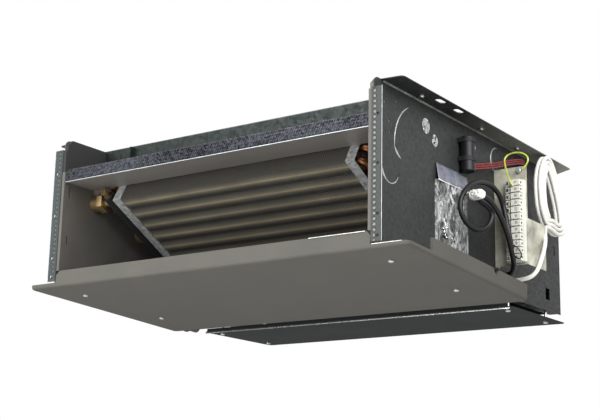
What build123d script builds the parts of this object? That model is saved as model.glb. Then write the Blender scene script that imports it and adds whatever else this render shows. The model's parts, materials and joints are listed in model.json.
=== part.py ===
from build123d import *
import math
import os

# Driving dimensions of the fan coil unit, in millimetres.
# X runs to the right, Y from the air outlet to the rear, Z up from the side panels' lower edge.
CASE_WIDTH = 524.0
FAN_SECTION_DEPTH = 247.0
CASE_HEIGHT = 224.0
SHEET = 1.0
SEAT_GAP = 0.3
CUT = 5.0
HEXAGON = 6

# Side panels
TOP_FLANGE = 30.0
TOP_FLANGE_START = 19.0
TOP_FLANGE_FRONT_SETBACK = 3.0
TOP_FLANGE_REAR_SETBACK = 17.0
FLANGE_CORNER_R = 6.0
FRONT_FLANGE = 14.0
FRONT_FLANGE_LOW = 15.5
FRONT_FLANGE_DROP = 16.0
FRONT_FLANGE_HOLE_HEIGHTS = (22.8, 49.0, 110.6, 172.0)
FRONT_FLANGE_HOLE_R = 1.6
FLANGE_HOLE_OUT = 8.4
RELIEF_DEPTH = 4.0
WEB_CORNER_R = 9.0
REAR_FLANGE = 14.0
REAR_FLANGE_RAISE = 10.0
LOWER_FLANGE = 14.0
LOWER_FLANGE_START = 18.0
WEB_LOW = 3.5
LIGHT_SLOT_Y = 12.5
LIGHT_SLOT_WIDTH = 2.0
LIGHT_SLOTS = ((145.5, 17.0), (76.0, 13.0))
PANEL_HOLE_R = 2.2
PANEL_HOLES = ((28.5, 196.6), (56.4, 204.0), (39.7, 174.7), (41.4, 161.0))
ROUND_HOLES = ((130.9, 192.6, 10.5), (153.7, 178.6, 8.5))
KNOCKOUT_SLIT = 1.4
KNOCKOUT_DEPTH = 0.5
KNOCKOUTS = (
    (112.6, 149.6, 61.0, 116.6, 184.0),
    (74.8, 158.2, 26.2, 209.2, 251.8),
    (42.2, 116.9, 20.5, 171.6, 347.9),
)
CABLE_KNOCKOUT = (330.0, 193.0, 19.0, 110.0, 250.0)
REAR_SLOT = (19.0, 97.7, 6.0, 15.0)
LATCH_WINDOW = (45.0, 28.5, 14.0, 17.0)

# Hanging slots and screws in the top flanges
HANG_SLOT_OUT = 20.3
HANG_SLOT_YS = (131.5, 179.5)
HANG_SLOT_WIDTH = 8.5
HANG_SLOT_LENGTH = 20.0
FLANGE_SCREW_OUT = 11.0
FLANGE_SCREW_YS = (98.7, 261.4, 372.4)
LAST_SCREW_INSET = 40.7
FLANGE_PILOT_YS = (111.8, 165.5, 287.9)
PILOT_R = 1.5

# Top panel, front cross channel and air deflector
TOP_PANEL_FRONT = 82.0
TOP_PANEL_OVERLAP = 18.0
TOP_PANEL_REAR_LIP = 12.0
CHANNEL_FACE = 44.0
CHANNEL_LIP = 12.0
CHANNEL_TAB_INSET = 63.0
CHANNEL_TAB = 10.0
CHANNEL_TAB_SHARE = 0.6
DEFLECTOR_HEIGHT = 160.0
DEFLECTOR_FRONT = 3.0
DEFLECTOR_UPSTAND = 18.0
DEFLECTOR_END_TAB = 12.0
DEFLECTOR_LAP = 1.5
FOAM_THICKNESS = 3.0
FOAM_HEIGHT = 15.5
GASKET_WIDTH = 13.5
GASKET_HOLE_GAP = 0.6
GASKET_THICKNESS = 1.0
INSULATION = 5.0
INSULATION_SETBACK = 0.3
INSULATION_TOP_CUT = 9.0
LINING_TO_DECK = 2.0
INSULATION_LOW = 30.3

# Screws
SCREW_R = 2.0
SCREW_CLEARANCE = 0.3
SCREW_HEAD_R = 3.9
SCREW_HEAD = 2.6
HEAD_CHAMFER = 0.45
WASHER_R = 4.9

# Condensate tray, which falls towards the rear
TRAY_OVERHANG = 50.0
TRAY_DEPTH = 320.0
TRAY_FRONT_Z = 7.5
TRAY_FALL = 19.5
TRAY_FLOOR = 4.0
TRAY_WALL = 3.2
TRAY_RIM = 22.5
TRAY_LOW_RIM = 6.0
TRAY_TALL_RIM_START = 56.0
TRAY_CORNER_R = 9.0
TRAY_EDGE_R = 4.0
TRAY_NOTCH_Y = 222.0
TRAY_NOTCH_DEPTH = 9.0
TRAY_END_CUT = 0.5
TRAY_END_REACH = 8.0
TRAY_SCREW_YS = (56.0, 221.0)
TRAY_BOSS_R = 6.0
TRAY_SCREW_REACH = 4.0
PANEL_SLOT_GAP = 1.0
DRAIN_OUT = 27.0
DRAIN_R = 8.0
DRAIN_BORE_R = 6.2
DRAIN_LENGTH = 25.0
DRAIN_COLLAR = 3.0

# Bottom panel on long screws
BOTTOM_PANEL_GAP = 26.0
BOTTOM_PANEL_REAR_INSET = 9.0
BOTTOM_PANEL_OVERHANG = 11.0
BOTTOM_PANEL_DROP = 15.0
BOTTOM_PANEL_HEM = 4.0
BOTTOM_SCREW_INSETS = (25.5, 30.0)
BOTTOM_NUT_R = 4.6
BOTTOM_NUT = 3.2

# Coil block, tilted so that its lower end lies to the rear
COIL_CORNER_Y = 50.0
COIL_CORNER_Z = 136.0
COIL_TILT = 28.25
COIL_ROWS = 9
COIL_COLUMNS = 2
ROW_PITCH = 25.0
COLUMN_PITCH = 22.0
COIL_END_SPACE = 70.5
FIN_WAVE = 1.6
TUBE_R = 4.76
TUBE_CLEARANCE = 0.05
TUBE_STUB = 3.0
CIRCUIT_ROWS = 3
END_PLATE_FLANGE = 14.0
END_PLATE_HOLE_GAP = 0.4
COIL_REST_LIP = 18.0
REST_DROP = 0.3
REST_LAP = 0.6
HEADER_R = 8.0
HEADER_OFFSET = 30.5
HEADER_OVERHANG = 12.0
UNION_HEX = 26.0
UNION_HEX_LENGTH = 10.0
UNION_NECK_R = 6.5
UNION_NECK_LENGTH = 2.0
UNION_BODY_R = 12.0
UNION_BODY_LENGTH = 38.0
UNION_BORE_R = 9.3
UNION_BORE_LENGTH = 15.0
RETURN_UNION_ROW = 4
PIPE_HOLE_GAP = 0.4
VENT_BODY_R = 4.5
VENT_BODY_LENGTH = 9.0
VENT_SCREW_R = 2.5
VENT_SCREW_FIT = 0.05
VENT_TIP_GAP = 1.5
VENT_SLOT_DEPTH = 1.5
VENT_SLOT_WIDTH = 1.2
VENT_HEAD_R = 4.0
VENT_HEAD = 4.0

# Fan section
DECK_TO_COIL = 39.5
FAN_CENTRE_X = 118.0
FAN_TO_DECK = 130.0
FAN_CENTRE_Z = 108.0
SCROLL_WIDTH = 124.0
SCROLL_R = 74.0
SCROLL_GROWTH = 8.0
SCROLL_QUARTERS = 3
SCROLL_SHEET = 1.2
SCROLL_OUTLET_LOW = 12.0
SCROLL_INLET_R = 56.0
INLET_LIP_R = 60.0
INLET_LIP = 3.0
SCROLL_FLANGE = 6.0
WHEEL_R = 65.0
WHEEL_WIDTH = 98.0
BLADE_COUNT = 30
BLADE_CHORD = 12.0
BLADE_THICKNESS = 0.9
BLADE_RISE = 3.2
BLADE_TIP = 2.0
RING_HEIGHT = 4.0
RING_WALL = 1.2
WHEEL_FIT = 0.05
HUB_PLATE = 1.5
HUB_R = 11.0
HUB_LENGTH = 22.0
SHAFT_R = 5.0
SHAFT_FIT = 0.05
SHAFT_OVERHANG = 14.0
MOTOR_R = 48.0
MOTOR_LENGTH = 62.0
MOTOR_CAP_R = 44.0
MOTOR_CAP_LENGTH = 12.0
MOTOR_EDGE_R = 2.0
MOTOR_CAP_EDGE_R = 4.0
MOTOR_SLOTS = 12
MOTOR_SLOT = 6.0
MOTOR_SLOT_DEPTH = 1.5
MOTOR_SLOT_END = 18.6
SHAFT_RELIEF = 1.0
SHAFT_CHAMFER = 0.8
MOTOR_BOSS_R = 14.0
MOTOR_BOSS_LENGTH = 6.0
BEARING_R = 11.0
BEARING_WIDTH = 7.0
RUBBER_R = 20.0
RUBBER_WIDTH = 6.0
CRADLE_WIDTH = 6.0
CRADLE_PLATE = 2.0
CRADLE_EDGE = 8.0
CRADLE_WEB = 20.0
CRADLE_RAIL = 10.0

# Filter
FILTER_THICKNESS = 5.0
FILTER_FRAME = 12.0
FILTER_SIDE_GAP = 3.0
FILTER_LOW = 6.0
FILTER_MESH = 1.2
FILTER_MESH_BITE = 2.7
FILTER_GROOVE = 2.0
FILTER_BAR_DEPTH = 1.5
FILTER_BARS = 3
FILTER_BAR_WIDTH = 5.0
GUIDE_LEG = 12.0
GUIDE_RAISE = 6.0

# Electrical zone on the right side panel
BRACKET_BEHIND_TRAY = 1.0
BRACKET_LOW = 40.0
BRACKET_HIGH = 178.0
BRACKET_REACH = 49.0
BRACKET_RETURN = 58.0
BRACKET_RETURN_HIGH = 104.0
BRACKET_FOOT = 12.0
TERMINAL_OUT = 21.5
TERMINAL_WIDTH = 26.0
TERMINAL_BASE = 8.0
TERMINAL_TOWER = 8.0
TERMINAL_LOW = 43.0
TERMINAL_POLES = 12
TERMINAL_PITCH = 9.5
TERMINAL_GAP = 1.6
TERMINAL_SCREW_R = 2.2
TERMINAL_SCREW_FIT = 0.1
TERMINAL_SCREW_SLOT = 0.8
TERMINAL_SLOT_DEPTH = 1.2
TERMINAL_SUNK = 0.5
TERMINAL_BORE_DEPTH = 4.0
TERMINAL_INSET = 2.0
TERMINAL_SPLIT = 5.0
TERMINAL_STEP = 3.0
CAPACITOR_Y = 223.5
CAPACITOR_LOW = 151.5
CAPACITOR_R = 10.0
CAPACITOR_LENGTH = 48.0
CAPACITOR_EDGE_R = 1.5
STRAP_WIDTH = 6.0
STRAP_EAR = 27.0
STRAP_SCREW_INSET = 5.0
STRAP_HEIGHTS = (17.0, 43.0)
EARTH_SCREW_OUT = 38.0
EARTH_SCREW_Z = 172.0
GROMMET_R = 7.5
GROMMET_LIP = 2.5
GROMMET_THICKNESS = 5.0
GROMMET_TAIL = 3.0
BLACK_GROMMET = (324.0, 27.0)
WHITE_GROMMET = (344.0, 24.0)
WIRE_GROMMET = (402.0, 204.0)

# Cables
BLACK_CABLE = 7.0
WHITE_CABLE = 6.0
WIRE = 2.4
RED_WIRES_BORE = 10.0
LOOP_CENTRE = (28.0, 213.0, 98.0)
LOOP_R = 29.0
LOOP_LEAN = 20.0
LOOP_STEP = 45.0
LOOP_TURNS = 5
LOOP_LEAD_IN = (
    (36.0, 298.0, 58.0),
    (32.0, 299.0, 79.0),
    (28.0, 298.5, 101.0),
    (25.0, 296.0, 122.0),
    (24.0, 284.0, 135.0),
    (24.0, 262.0, 141.5),
    (23.0, 226.0, 138.0),
    (20.5, 197.0, 122.0),
)
LOOP_LEAD_OUT = (
    (29.5, 229.0, 114.0),
    (28.0, 206.0, 119.0),
    (43.5, 206.0, 119.0),
    (44.0, 228.0, 114.0),
    (47.0, 249.0, 94.0),
    (45.0, 270.0, 69.0),
    (41.0, 289.0, 48.0),
    (35.0, 307.0, 34.0),
    (22.0, 323.0, 27.5),
    (2.0, 324.0, 27.0),
)
WHITE_TAIL_ROUTE = (
    (33.0, 421.0, 125.0),
    (33.0, 411.0, 115.0),
    (44.0, 394.0, 98.0),
    (56.0, 376.0, 77.0),
    (60.0, 360.0, 51.0),
    (54.0, 349.0, 31.0),
    (35.0, 344.5, 24.3),
    (2.0, 344.0, 24.0),
)
HANK_OUT = 31.0
HANK_THICKNESS = 15.0
HANK_TOP = (424.0, 219.0)
HANK_OUTLINE = ((400.0, 197.0), (402.0, 160.0), (412.0, 134.0), (430.0, 116.0), (455.0, 116.0),
                (476.0, 132.0), (470.0, 158.0), (462.0, 184.0), (444.0, 209.0))
HANK_CORNER_R = 7.0
RED_WIRE_ROUTE = (
    (10.0, 233.5, 161.0),
    (15.0, 287.0, 174.0),
    (13.0, 336.0, 191.0),
    (15.0, 378.0, 203.0),
    (11.0, 399.0, 204.5),
    (2.0, 402.0, 204.0),
)
EARTH_WIRE_ROUTE = (
    (37.0, 304.0, 146.5),
    (34.0, 299.0, 152.0),
    (29.0, 303.0, 165.0),
    (23.0, 309.0, 178.0),
    (18.5, 315.0, 190.0),
    (23.0, 318.0, 197.0),
    (34.0, 318.0, 198.5),
    (46.0, 318.0, 196.0),
    (54.5, 318.0, 188.0),
    (51.0, 318.4, 178.0),
    (43.4, 319.2, 173.0),
)
RED_WIRE_COUNT = 3
RED_WIRE_PITCH = 1.25
CORNER_SHARE = 0.45
ACCESSORY_BAG = (145.0, 232.0, 40.0, 150.0)
BAG_THICKNESS = 11.0
BAG_FLAP = 34.0
BAG_EDGE_R = 5.0
BAG_FLAP_THICKNESS = 2.0
BAG_FLAP_INSET = 5.0
BAG_FLAP_LAP = 12.0
TIE_SETBACK = 11.0
TIE_GAP = 0.5
TIE_WIDTH = 4.0
TIE_THICKNESS = 1.5
TIE_MARGIN = 0.1
TIE_HEAD = 6.0

# Values that follow from the driving dimensions
HALF = CASE_WIDTH / 2
INNER = HALF - SHEET
FLANGE_TOP = CASE_HEIGHT - SHEET
FRONT_FLANGE_HIGH = FLANGE_TOP - FRONT_FLANGE_DROP
FALL_ANGLE = math.degrees(math.atan2(TRAY_FALL, TRAY_DEPTH))
FALL_SLOPE = TRAY_FALL / TRAY_DEPTH
WEB_FRONT_LOW = TRAY_FRONT_Z + TRAY_LOW_RIM + SEAT_GAP
WEB_BREAK_Y = (WEB_FRONT_LOW - WEB_LOW) / FALL_SLOPE
COIL_LENGTH = COIL_ROWS * ROW_PITCH
COIL_DEPTH = COIL_COLUMNS * COLUMN_PITCH
COIL_REAR_Y = COIL_CORNER_Y + COIL_LENGTH * math.cos(math.radians(COIL_TILT))
DECK_Y = round(COIL_REAR_Y + DECK_TO_COIL)
CASE_DEPTH = DECK_Y + FAN_SECTION_DEPTH
FAN_CENTRE_Y = DECK_Y + FAN_TO_DECK
INSULATION_REAR = DECK_Y - LINING_TO_DECK
FIN_HALF = HALF - COIL_END_SPACE
LINING_FACE = INNER - INSULATION
LOWER_SCREW_X = HALF - LOWER_FLANGE / 2
HANG_SLOT_X = HALF + HANG_SLOT_OUT
FLANGE_HOLE_X = HALF + FLANGE_HOLE_OUT
FLANGE_SCREW_X = HALF + FLANGE_SCREW_OUT
MOUTH_LOW = FAN_CENTRE_Z + SCROLL_OUTLET_LOW + SCROLL_SHEET
MOUTH_HIGH = FAN_CENTRE_Z + SCROLL_R + SCROLL_QUARTERS * SCROLL_GROWTH - SCROLL_SHEET
MOTOR_SLOT_LENGTH = MOTOR_LENGTH - MOTOR_SLOT_END
TOP_SCREW_YS = FLANGE_SCREW_YS + (CASE_DEPTH - LAST_SCREW_INSET,)
TRAY_HALF = HALF + TRAY_OVERHANG
DRAIN_X = -(HALF + DRAIN_OUT)
BOTTOM_PANEL_FRONT = TRAY_DEPTH + BOTTOM_PANEL_GAP
BOTTOM_PANEL_REAR = CASE_DEPTH - BOTTOM_PANEL_REAR_INSET
BOTTOM_SCREW_YS = (BOTTOM_PANEL_FRONT + BOTTOM_SCREW_INSETS[0],
                   BOTTOM_PANEL_REAR - BOTTOM_SCREW_INSETS[1])
BRACKET_Y = TRAY_DEPTH + BRACKET_BEHIND_TRAY
TERMINAL_X = HALF + TERMINAL_OUT
EARTH_SCREW_X = HALF + EARTH_SCREW_OUT
STRAP_SCREW_Y = CAPACITOR_Y + CAPACITOR_R + SHEET + STRAP_EAR - STRAP_SCREW_INSET
ORIGIN = Vector(0, (TOP_PANEL_FRONT + CASE_DEPTH) / 2, CASE_HEIGHT)


def block(x0, x1, y0, y1, z0, z1):
    """A box between two corners."""
    centre = ((x0 + x1) / 2, (y0 + y1) / 2, (z0 + z1) / 2)
    return Pos(*centre) * Box(abs(x1 - x0), abs(y1 - y0), abs(z1 - z0))


def rod_x(y, z, radius, x0, x1):
    """A round bar along X."""
    return Pos((x0 + x1) / 2, y, z) * Rot(0, 90, 0) * Cylinder(radius, abs(x1 - x0))


def rod_y(x, z, radius, y0, y1):
    """A round bar along Y."""
    return Pos(x, (y0 + y1) / 2, z) * Rot(90, 0, 0) * Cylinder(radius, abs(y1 - y0))


def rod_z(x, y, radius, z0, z1):
    """A round bar along Z."""
    return Pos(x, y, (z0 + z1) / 2) * Cylinder(radius, abs(z1 - z0))


def slot_z(x, y, width, length, z0, z1):
    """A round-ended slot along Y, cut through Z."""
    outline = Pos(x, y, z0) * Rot(0, 0, 90) * SlotOverall(length, width)
    return extrude(outline, z1 - z0, dir=(0, 0, 1))


def side_outline(points, x0, x1):
    """A plate of thickness x1 - x0 from an outline in Y and Z."""
    face = Plane.YZ.offset(x0) * make_face(Polyline(*points, close=True))
    return extrude(face, x1 - x0, dir=(1, 0, 0))


def solids_of(pieces):
    """One compound that keeps each piece as a separate solid."""
    return Compound(children=[solid for piece in pieces for solid in piece.solids()])


def in_tray(shape):
    """From the tray's level frame to its fall towards the rear."""
    return Pos(0, 0, TRAY_FRONT_Z) * Rot(-FALL_ANGLE, 0, 0) * shape


def in_coil(shape):
    """From the coil's own frame, rows along Y and columns along Z, to its tilt."""
    return Pos(0, COIL_CORNER_Y, COIL_CORNER_Z) * Rot(-COIL_TILT, 0, 0) * shape


def web_low(y):
    """Height of the side panel's lower edge, which follows the tray's floor."""
    return max(WEB_LOW, WEB_FRONT_LOW - FALL_SLOPE * y)


def tray_boss(y):
    """Height of a screw boss between the tray's floor and the side panel's lower flange."""
    return web_low(y) - (TRAY_FRONT_Z + TRAY_FLOOR - FALL_SLOPE * y) - SEAT_GAP * 2


def pan_screw(x, y, head_low, length):
    """A screw with a domed head below and its shank pointing up."""
    head = rod_z(x, y, SCREW_HEAD_R, head_low, head_low + SCREW_HEAD)
    head = chamfer(head.edges().group_by(Axis.Z)[0], SCREW_HEAD * HEAD_CHAMFER)
    return head + rod_z(x, y, SCREW_R, head_low + SCREW_HEAD, head_low + SCREW_HEAD + length)


def knockout(y, z, radius, start, end):
    """An arc of a knock-out, as a shallow groove in the outer face."""
    arc = CenterArc((0, 0), radius, start, end - start)
    band = trace(arc, KNOCKOUT_SLIT)
    face = Plane.YZ.offset(HALF - KNOCKOUT_DEPTH) * Pos(y, z) * band
    return extrude(face, KNOCKOUT_DEPTH * 2, dir=(1, 0, 0))


def light_slots():
    """Two narrow upright slots near the right side's front edge, through panel and lining."""
    half = LIGHT_SLOT_WIDTH / 2
    return [block(LINING_FACE - SHEET, HALF + SHEET, LIGHT_SLOT_Y - half, LIGHT_SLOT_Y + half,
                  z - length / 2, z + length / 2) for z, length in LIGHT_SLOTS]


def side_panel(knockouts):
    """Side panel: web with outward top and front flanges, inward rear and lower ones."""
    top = FLANGE_TOP
    low_front = web_low(0)
    outline = (
        (0, low_front), (0, FRONT_FLANGE_HIGH), (RELIEF_DEPTH, FRONT_FLANGE_HIGH),
        (RELIEF_DEPTH, top), (CASE_DEPTH, top), (CASE_DEPTH, WEB_LOW), (WEB_BREAK_Y, WEB_LOW),
    )
    panel = side_outline(outline, INNER, HALF)
    corner = panel.edges().filter_by(Axis.X).sort_by_distance((HALF, RELIEF_DEPTH, top))[0]
    panel = fillet(corner, WEB_CORNER_R)
    flange_points = (
        (INNER, TOP_FLANGE_START), (HALF + TOP_FLANGE, TOP_FLANGE_START + TOP_FLANGE_FRONT_SETBACK),
        (HALF + TOP_FLANGE, CASE_DEPTH - TOP_FLANGE_REAR_SETBACK), (INNER, CASE_DEPTH),
    )
    top_flange = extrude(make_face(Polyline(*flange_points, close=True)), SHEET)
    top_flange = Pos(0, 0, top - SHEET) * top_flange
    tips = top_flange.edges().filter_by(Axis.Z).sort_by(Axis.X)[-2:]
    top_flange = fillet(tips, FLANGE_CORNER_R)
    panel += top_flange
    panel += block(INNER, HALF + FRONT_FLANGE, 0, SHEET, FRONT_FLANGE_LOW, FRONT_FLANGE_HIGH)
    panel += block(HALF - REAR_FLANGE, HALF, CASE_DEPTH - SHEET, CASE_DEPTH,
                   WEB_LOW + REAR_FLANGE_RAISE, top)
    rear_end = BOTTOM_PANEL_REAR
    front_end = LOWER_FLANGE_START
    lower = (
        (front_end, web_low(front_end)), (WEB_BREAK_Y, WEB_LOW), (rear_end, WEB_LOW),
        (rear_end, WEB_LOW + SHEET), (WEB_BREAK_Y, WEB_LOW + SHEET),
        (front_end, web_low(front_end) + SHEET),
    )
    panel += side_outline(lower, HALF - LOWER_FLANGE, HALF)
    for y in HANG_SLOT_YS:
        panel -= slot_z(HANG_SLOT_X, y, HANG_SLOT_WIDTH, HANG_SLOT_LENGTH, top - 2, top + 1)
    for y in TOP_SCREW_YS:
        panel -= rod_z(FLANGE_SCREW_X, y, SCREW_R + SCREW_CLEARANCE, top - 2, top + 1)
    for y in FLANGE_PILOT_YS:
        panel -= rod_z(FLANGE_SCREW_X, y, PILOT_R, top - 2, top + 1)
    for z in FRONT_FLANGE_HOLE_HEIGHTS:
        panel -= rod_y(FLANGE_HOLE_X, z, FRONT_FLANGE_HOLE_R, -SHEET, 2 * SHEET)
    for y, z in PANEL_HOLES:
        panel -= rod_x(y, z, PANEL_HOLE_R, INNER - 1, HALF + 1)
    for y, z, radius in ROUND_HOLES:
        panel -= rod_x(y, z, radius, INNER - 1, HALF + 1)
    panel -= light_slots()
    for inset, z, width, height in (REAR_SLOT, LATCH_WINDOW):
        y = CASE_DEPTH - inset
        panel -= block(INNER - 1, HALF + 1, y - width / 2, y + width / 2,
                       z - height / 2, z + height / 2)
    for arc in knockouts:
        panel -= knockout(*arc)
    for y in BOTTOM_SCREW_YS:
        panel -= rod_z(LOWER_SCREW_X, y, SCREW_R + SCREW_CLEARANCE, 0, WEB_LOW + CUT)
    for y in TRAY_SCREW_YS:
        panel -= in_tray(rod_z(LOWER_SCREW_X, y, SCREW_R + SCREW_CLEARANCE, 0, TRAY_RIM + CUT))
    return panel


def wired_side_panel():
    """The right side panel, with the cable entries of the electrical zone."""
    panel = side_panel(KNOCKOUTS + (CABLE_KNOCKOUT,))
    for y, z in (BLACK_GROMMET, WHITE_GROMMET, WIRE_GROMMET):
        panel -= rod_x(y, z, GROMMET_R, INNER - 1, HALF + 1)
    return panel


def pipe_holes():
    """Round passages for the two water unions through the left side."""
    holes = []
    for row, column in ((0, 0), (RETURN_UNION_ROW, 1)):
        spot = in_coil(Pos(0, *tube_spot(row, column)))
        y, z = spot.position.Y, spot.position.Z
        holes.append(rod_x(y, z, UNION_BODY_R + PIPE_HOLE_GAP, -HALF - 1, -LINING_FACE + 1))
    return holes


def piped_side_panel():
    """The left side panel, with its pipe passages open."""
    return mirror(side_panel((CABLE_KNOCKOUT,)), about=Plane.YZ) - pipe_holes()


def piped_lining():
    """The left lining, cut round the water unions."""
    return mirror(side_lining(), about=Plane.YZ) - pipe_holes()


def top_panel():
    """Sheet over the top flanges, with a rear lip and gaps around the hanging slots."""
    reach = HALF + TOP_PANEL_OVERLAP
    panel = block(-reach, reach, TOP_PANEL_FRONT, CASE_DEPTH - TOP_FLANGE_REAR_SETBACK,
                  FLANGE_TOP, CASE_HEIGHT)
    panel += block(-INNER, INNER, TOP_PANEL_FRONT, CASE_DEPTH, FLANGE_TOP, CASE_HEIGHT)
    inside = INNER - REAR_FLANGE - 1
    panel += block(-inside, inside, CASE_DEPTH - SHEET, CASE_DEPTH,
                   FLANGE_TOP - TOP_PANEL_REAR_LIP, FLANGE_TOP)
    for side in (-1, 1):
        for y in HANG_SLOT_YS:
            panel -= slot_z(side * HANG_SLOT_X, y, HANG_SLOT_WIDTH + 2, HANG_SLOT_LENGTH + 2,
                            FLANGE_TOP - 1, CASE_HEIGHT + 1)
        for y in TOP_SCREW_YS:
            panel -= rod_z(side * FLANGE_SCREW_X, y, SCREW_R, FLANGE_TOP - 1, CASE_HEIGHT + 1)
    return panel


def top_panel_screws():
    """Screws from below, through the side panels' top flanges into the top panel."""
    length = 2 * SHEET
    low = FLANGE_TOP - SHEET - SCREW_HEAD
    screws = [pan_screw(side * FLANGE_SCREW_X, y, low, length)
              for side in (-1, 1) for y in TOP_SCREW_YS]
    return solids_of(screws)


def top_front_channel():
    """Galvanised cross channel that closes the top above the coil."""
    y0 = TOP_PANEL_FRONT
    high = FLANGE_TOP
    low = high - CHANNEL_FACE
    half = INNER - INSULATION - SEAT_GAP
    channel = block(-half, half, y0, y0 + SHEET, low, high)
    channel += block(-half, half, y0, y0 + CHANNEL_LIP, high - SHEET, high)
    channel += block(-half, half, y0, y0 + CHANNEL_LIP, low, low + SHEET)
    for side in (-1, 1):
        channel += block(side * half, side * (half - SHEET), y0, y0 + CHANNEL_LIP, low, high)
    tab = CHANNEL_TAB_INSET - HALF
    channel += block(tab, tab + SHEET, y0 - CHANNEL_TAB, y0,
                     high - CHANNEL_FACE * CHANNEL_TAB_SHARE, high - SHEET * 2)
    return channel


def air_deflector():
    """Shelf above the outlet with an upstand in front and a tab at each end."""
    half = LINING_FACE - SEAT_GAP
    high = DEFLECTOR_HEIGHT
    tilt = math.radians(COIL_TILT)
    lap = SHEET * DEFLECTOR_LAP
    rear = COIL_CORNER_Y + (high - COIL_CORNER_Z) * math.tan(tilt) - lap / math.cos(tilt)
    front = DEFLECTOR_FRONT
    plate = block(-half, half, front, rear, high - SHEET, high)
    seat = (high - COIL_CORNER_Z) / math.cos(tilt) - lap
    coil_half = FIN_HALF + END_PLATE_FLANGE
    plate += in_coil(block(-coil_half, coil_half, -2 * SHEET, -SHEET, seat, COIL_DEPTH))
    plate += block(-half, half, front + FOAM_THICKNESS, front + FOAM_THICKNESS + SHEET,
                   high - SHEET, high + DEFLECTOR_UPSTAND)
    for side in (-1, 1):
        plate += block(side * half, side * (half - SHEET), front + FOAM_THICKNESS,
                       rear, high - SHEET, high + DEFLECTOR_END_TAB)
    return plate


def deflector_foam():
    """Foam strip on the deflector's upstand."""
    half = LINING_FACE - SEAT_GAP
    return block(-half, half, DEFLECTOR_FRONT, DEFLECTOR_FRONT + FOAM_THICKNESS,
                 DEFLECTOR_HEIGHT, DEFLECTOR_HEIGHT + FOAM_HEIGHT)


def flange_gasket():
    """Foam gasket on the right front flange, open at the flange's holes."""
    gasket = block(HALF - SHEET, HALF - SHEET + GASKET_WIDTH, -GASKET_THICKNESS, 0,
                   FRONT_FLANGE_LOW + SHEET, FRONT_FLANGE_HIGH - SHEET)
    for z in FRONT_FLANGE_HOLE_HEIGHTS:
        gasket -= rod_y(FLANGE_HOLE_X, z, FRONT_FLANGE_HOLE_R + GASKET_HOLE_GAP,
                        -2 * GASKET_THICKNESS, SHEET)
    return gasket


def side_lining():
    """Insulation on the right side panel's inner face, around the coil."""
    front = SHEET + INSULATION_SETBACK
    relief = RELIEF_DEPTH + INSULATION_SETBACK
    cut = INSULATION_TOP_CUT
    outline = (
        (front, INSULATION_LOW), (front, FRONT_FLANGE_HIGH - SHEET),
        (relief, FRONT_FLANGE_HIGH - SHEET), (relief, FLANGE_TOP - cut),
        (relief + cut, FLANGE_TOP), (INSULATION_REAR, FLANGE_TOP),
        (INSULATION_REAR, INSULATION_LOW),
    )
    return side_outline(outline, LINING_FACE, INNER) - light_slots()


def top_lining():
    """Insulation under the top panel, between the channel and the fan deck."""
    half = LINING_FACE - SEAT_GAP
    return block(-half, half, TOP_PANEL_FRONT + CHANNEL_LIP + SEAT_GAP, INSULATION_REAR,
                 FLANGE_TOP - INSULATION, FLANGE_TOP)


def drip_tray():
    """Moulded tray, tall between and beside the side panels and low in front of them."""
    half = TRAY_HALF
    tray = block(-half, half, 0, TRAY_DEPTH, 0, TRAY_RIM)
    tray = fillet(tray.edges().filter_by(Axis.Z), TRAY_CORNER_R)
    tray = fillet(tray.edges().group_by(Axis.Z)[0], TRAY_EDGE_R)
    inner = block(-half + TRAY_WALL, half - TRAY_WALL, TRAY_WALL, TRAY_DEPTH - TRAY_WALL,
                  TRAY_FLOOR, TRAY_RIM + 1)
    inner = fillet(inner.edges().filter_by(Axis.Z), TRAY_CORNER_R - TRAY_WALL)
    tray -= inner
    panel_slot = HALF + PANEL_SLOT_GAP
    for side in (-1, 1):
        outer = side * (half + 1)
        tray -= block(side * (INNER - PANEL_SLOT_GAP), outer, -1, TRAY_TALL_RIM_START,
                      TRAY_LOW_RIM, TRAY_RIM + 1)
        tray -= block(side * (HALF - LOWER_FLANGE - PANEL_SLOT_GAP), side * panel_slot,
                      TRAY_DEPTH / 2, TRAY_DEPTH + 1, TRAY_FLOOR, TRAY_RIM + 1)
        bevel = (TRAY_RIM - TRAY_LOW_RIM) * TRAY_END_CUT
        corner = Pos(side * (INNER - PANEL_SLOT_GAP), 0, TRAY_RIM) * Rot(0, 45, 0)
        tray -= corner * Box(bevel, TRAY_END_REACH, bevel)
        for y in TRAY_SCREW_YS:
            tray += rod_z(side * LOWER_SCREW_X, y, TRAY_BOSS_R, TRAY_FLOOR - 1,
                          TRAY_FLOOR + tray_boss(y))
        for y in TRAY_SCREW_YS:
            tray -= rod_z(side * LOWER_SCREW_X, y, SCREW_R + SCREW_CLEARANCE, -1, TRAY_RIM)
    notch = TRAY_NOTCH_DEPTH * math.sqrt(2)
    tray -= Pos(half, TRAY_NOTCH_Y, TRAY_RIM) * Rot(45, 0, 0) * Box(TRAY_WALL * 3, notch, notch)
    tray -= rod_y(DRAIN_X, TRAY_FLOOR + DRAIN_BORE_R, DRAIN_BORE_R, TRAY_DEPTH - TRAY_WALL - 1,
                  TRAY_DEPTH + 1)
    return in_tray(tray)


def tray_screws():
    """Four screws up through the tray into the side panels' lower flanges."""
    screws = []
    for side in (-1, 1):
        for y in TRAY_SCREW_YS:
            length = TRAY_FLOOR + tray_boss(y) + TRAY_SCREW_REACH
            screws.append(in_tray(pan_screw(side * LOWER_SCREW_X, y, -SCREW_HEAD, length)))
    return solids_of(screws)


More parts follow.
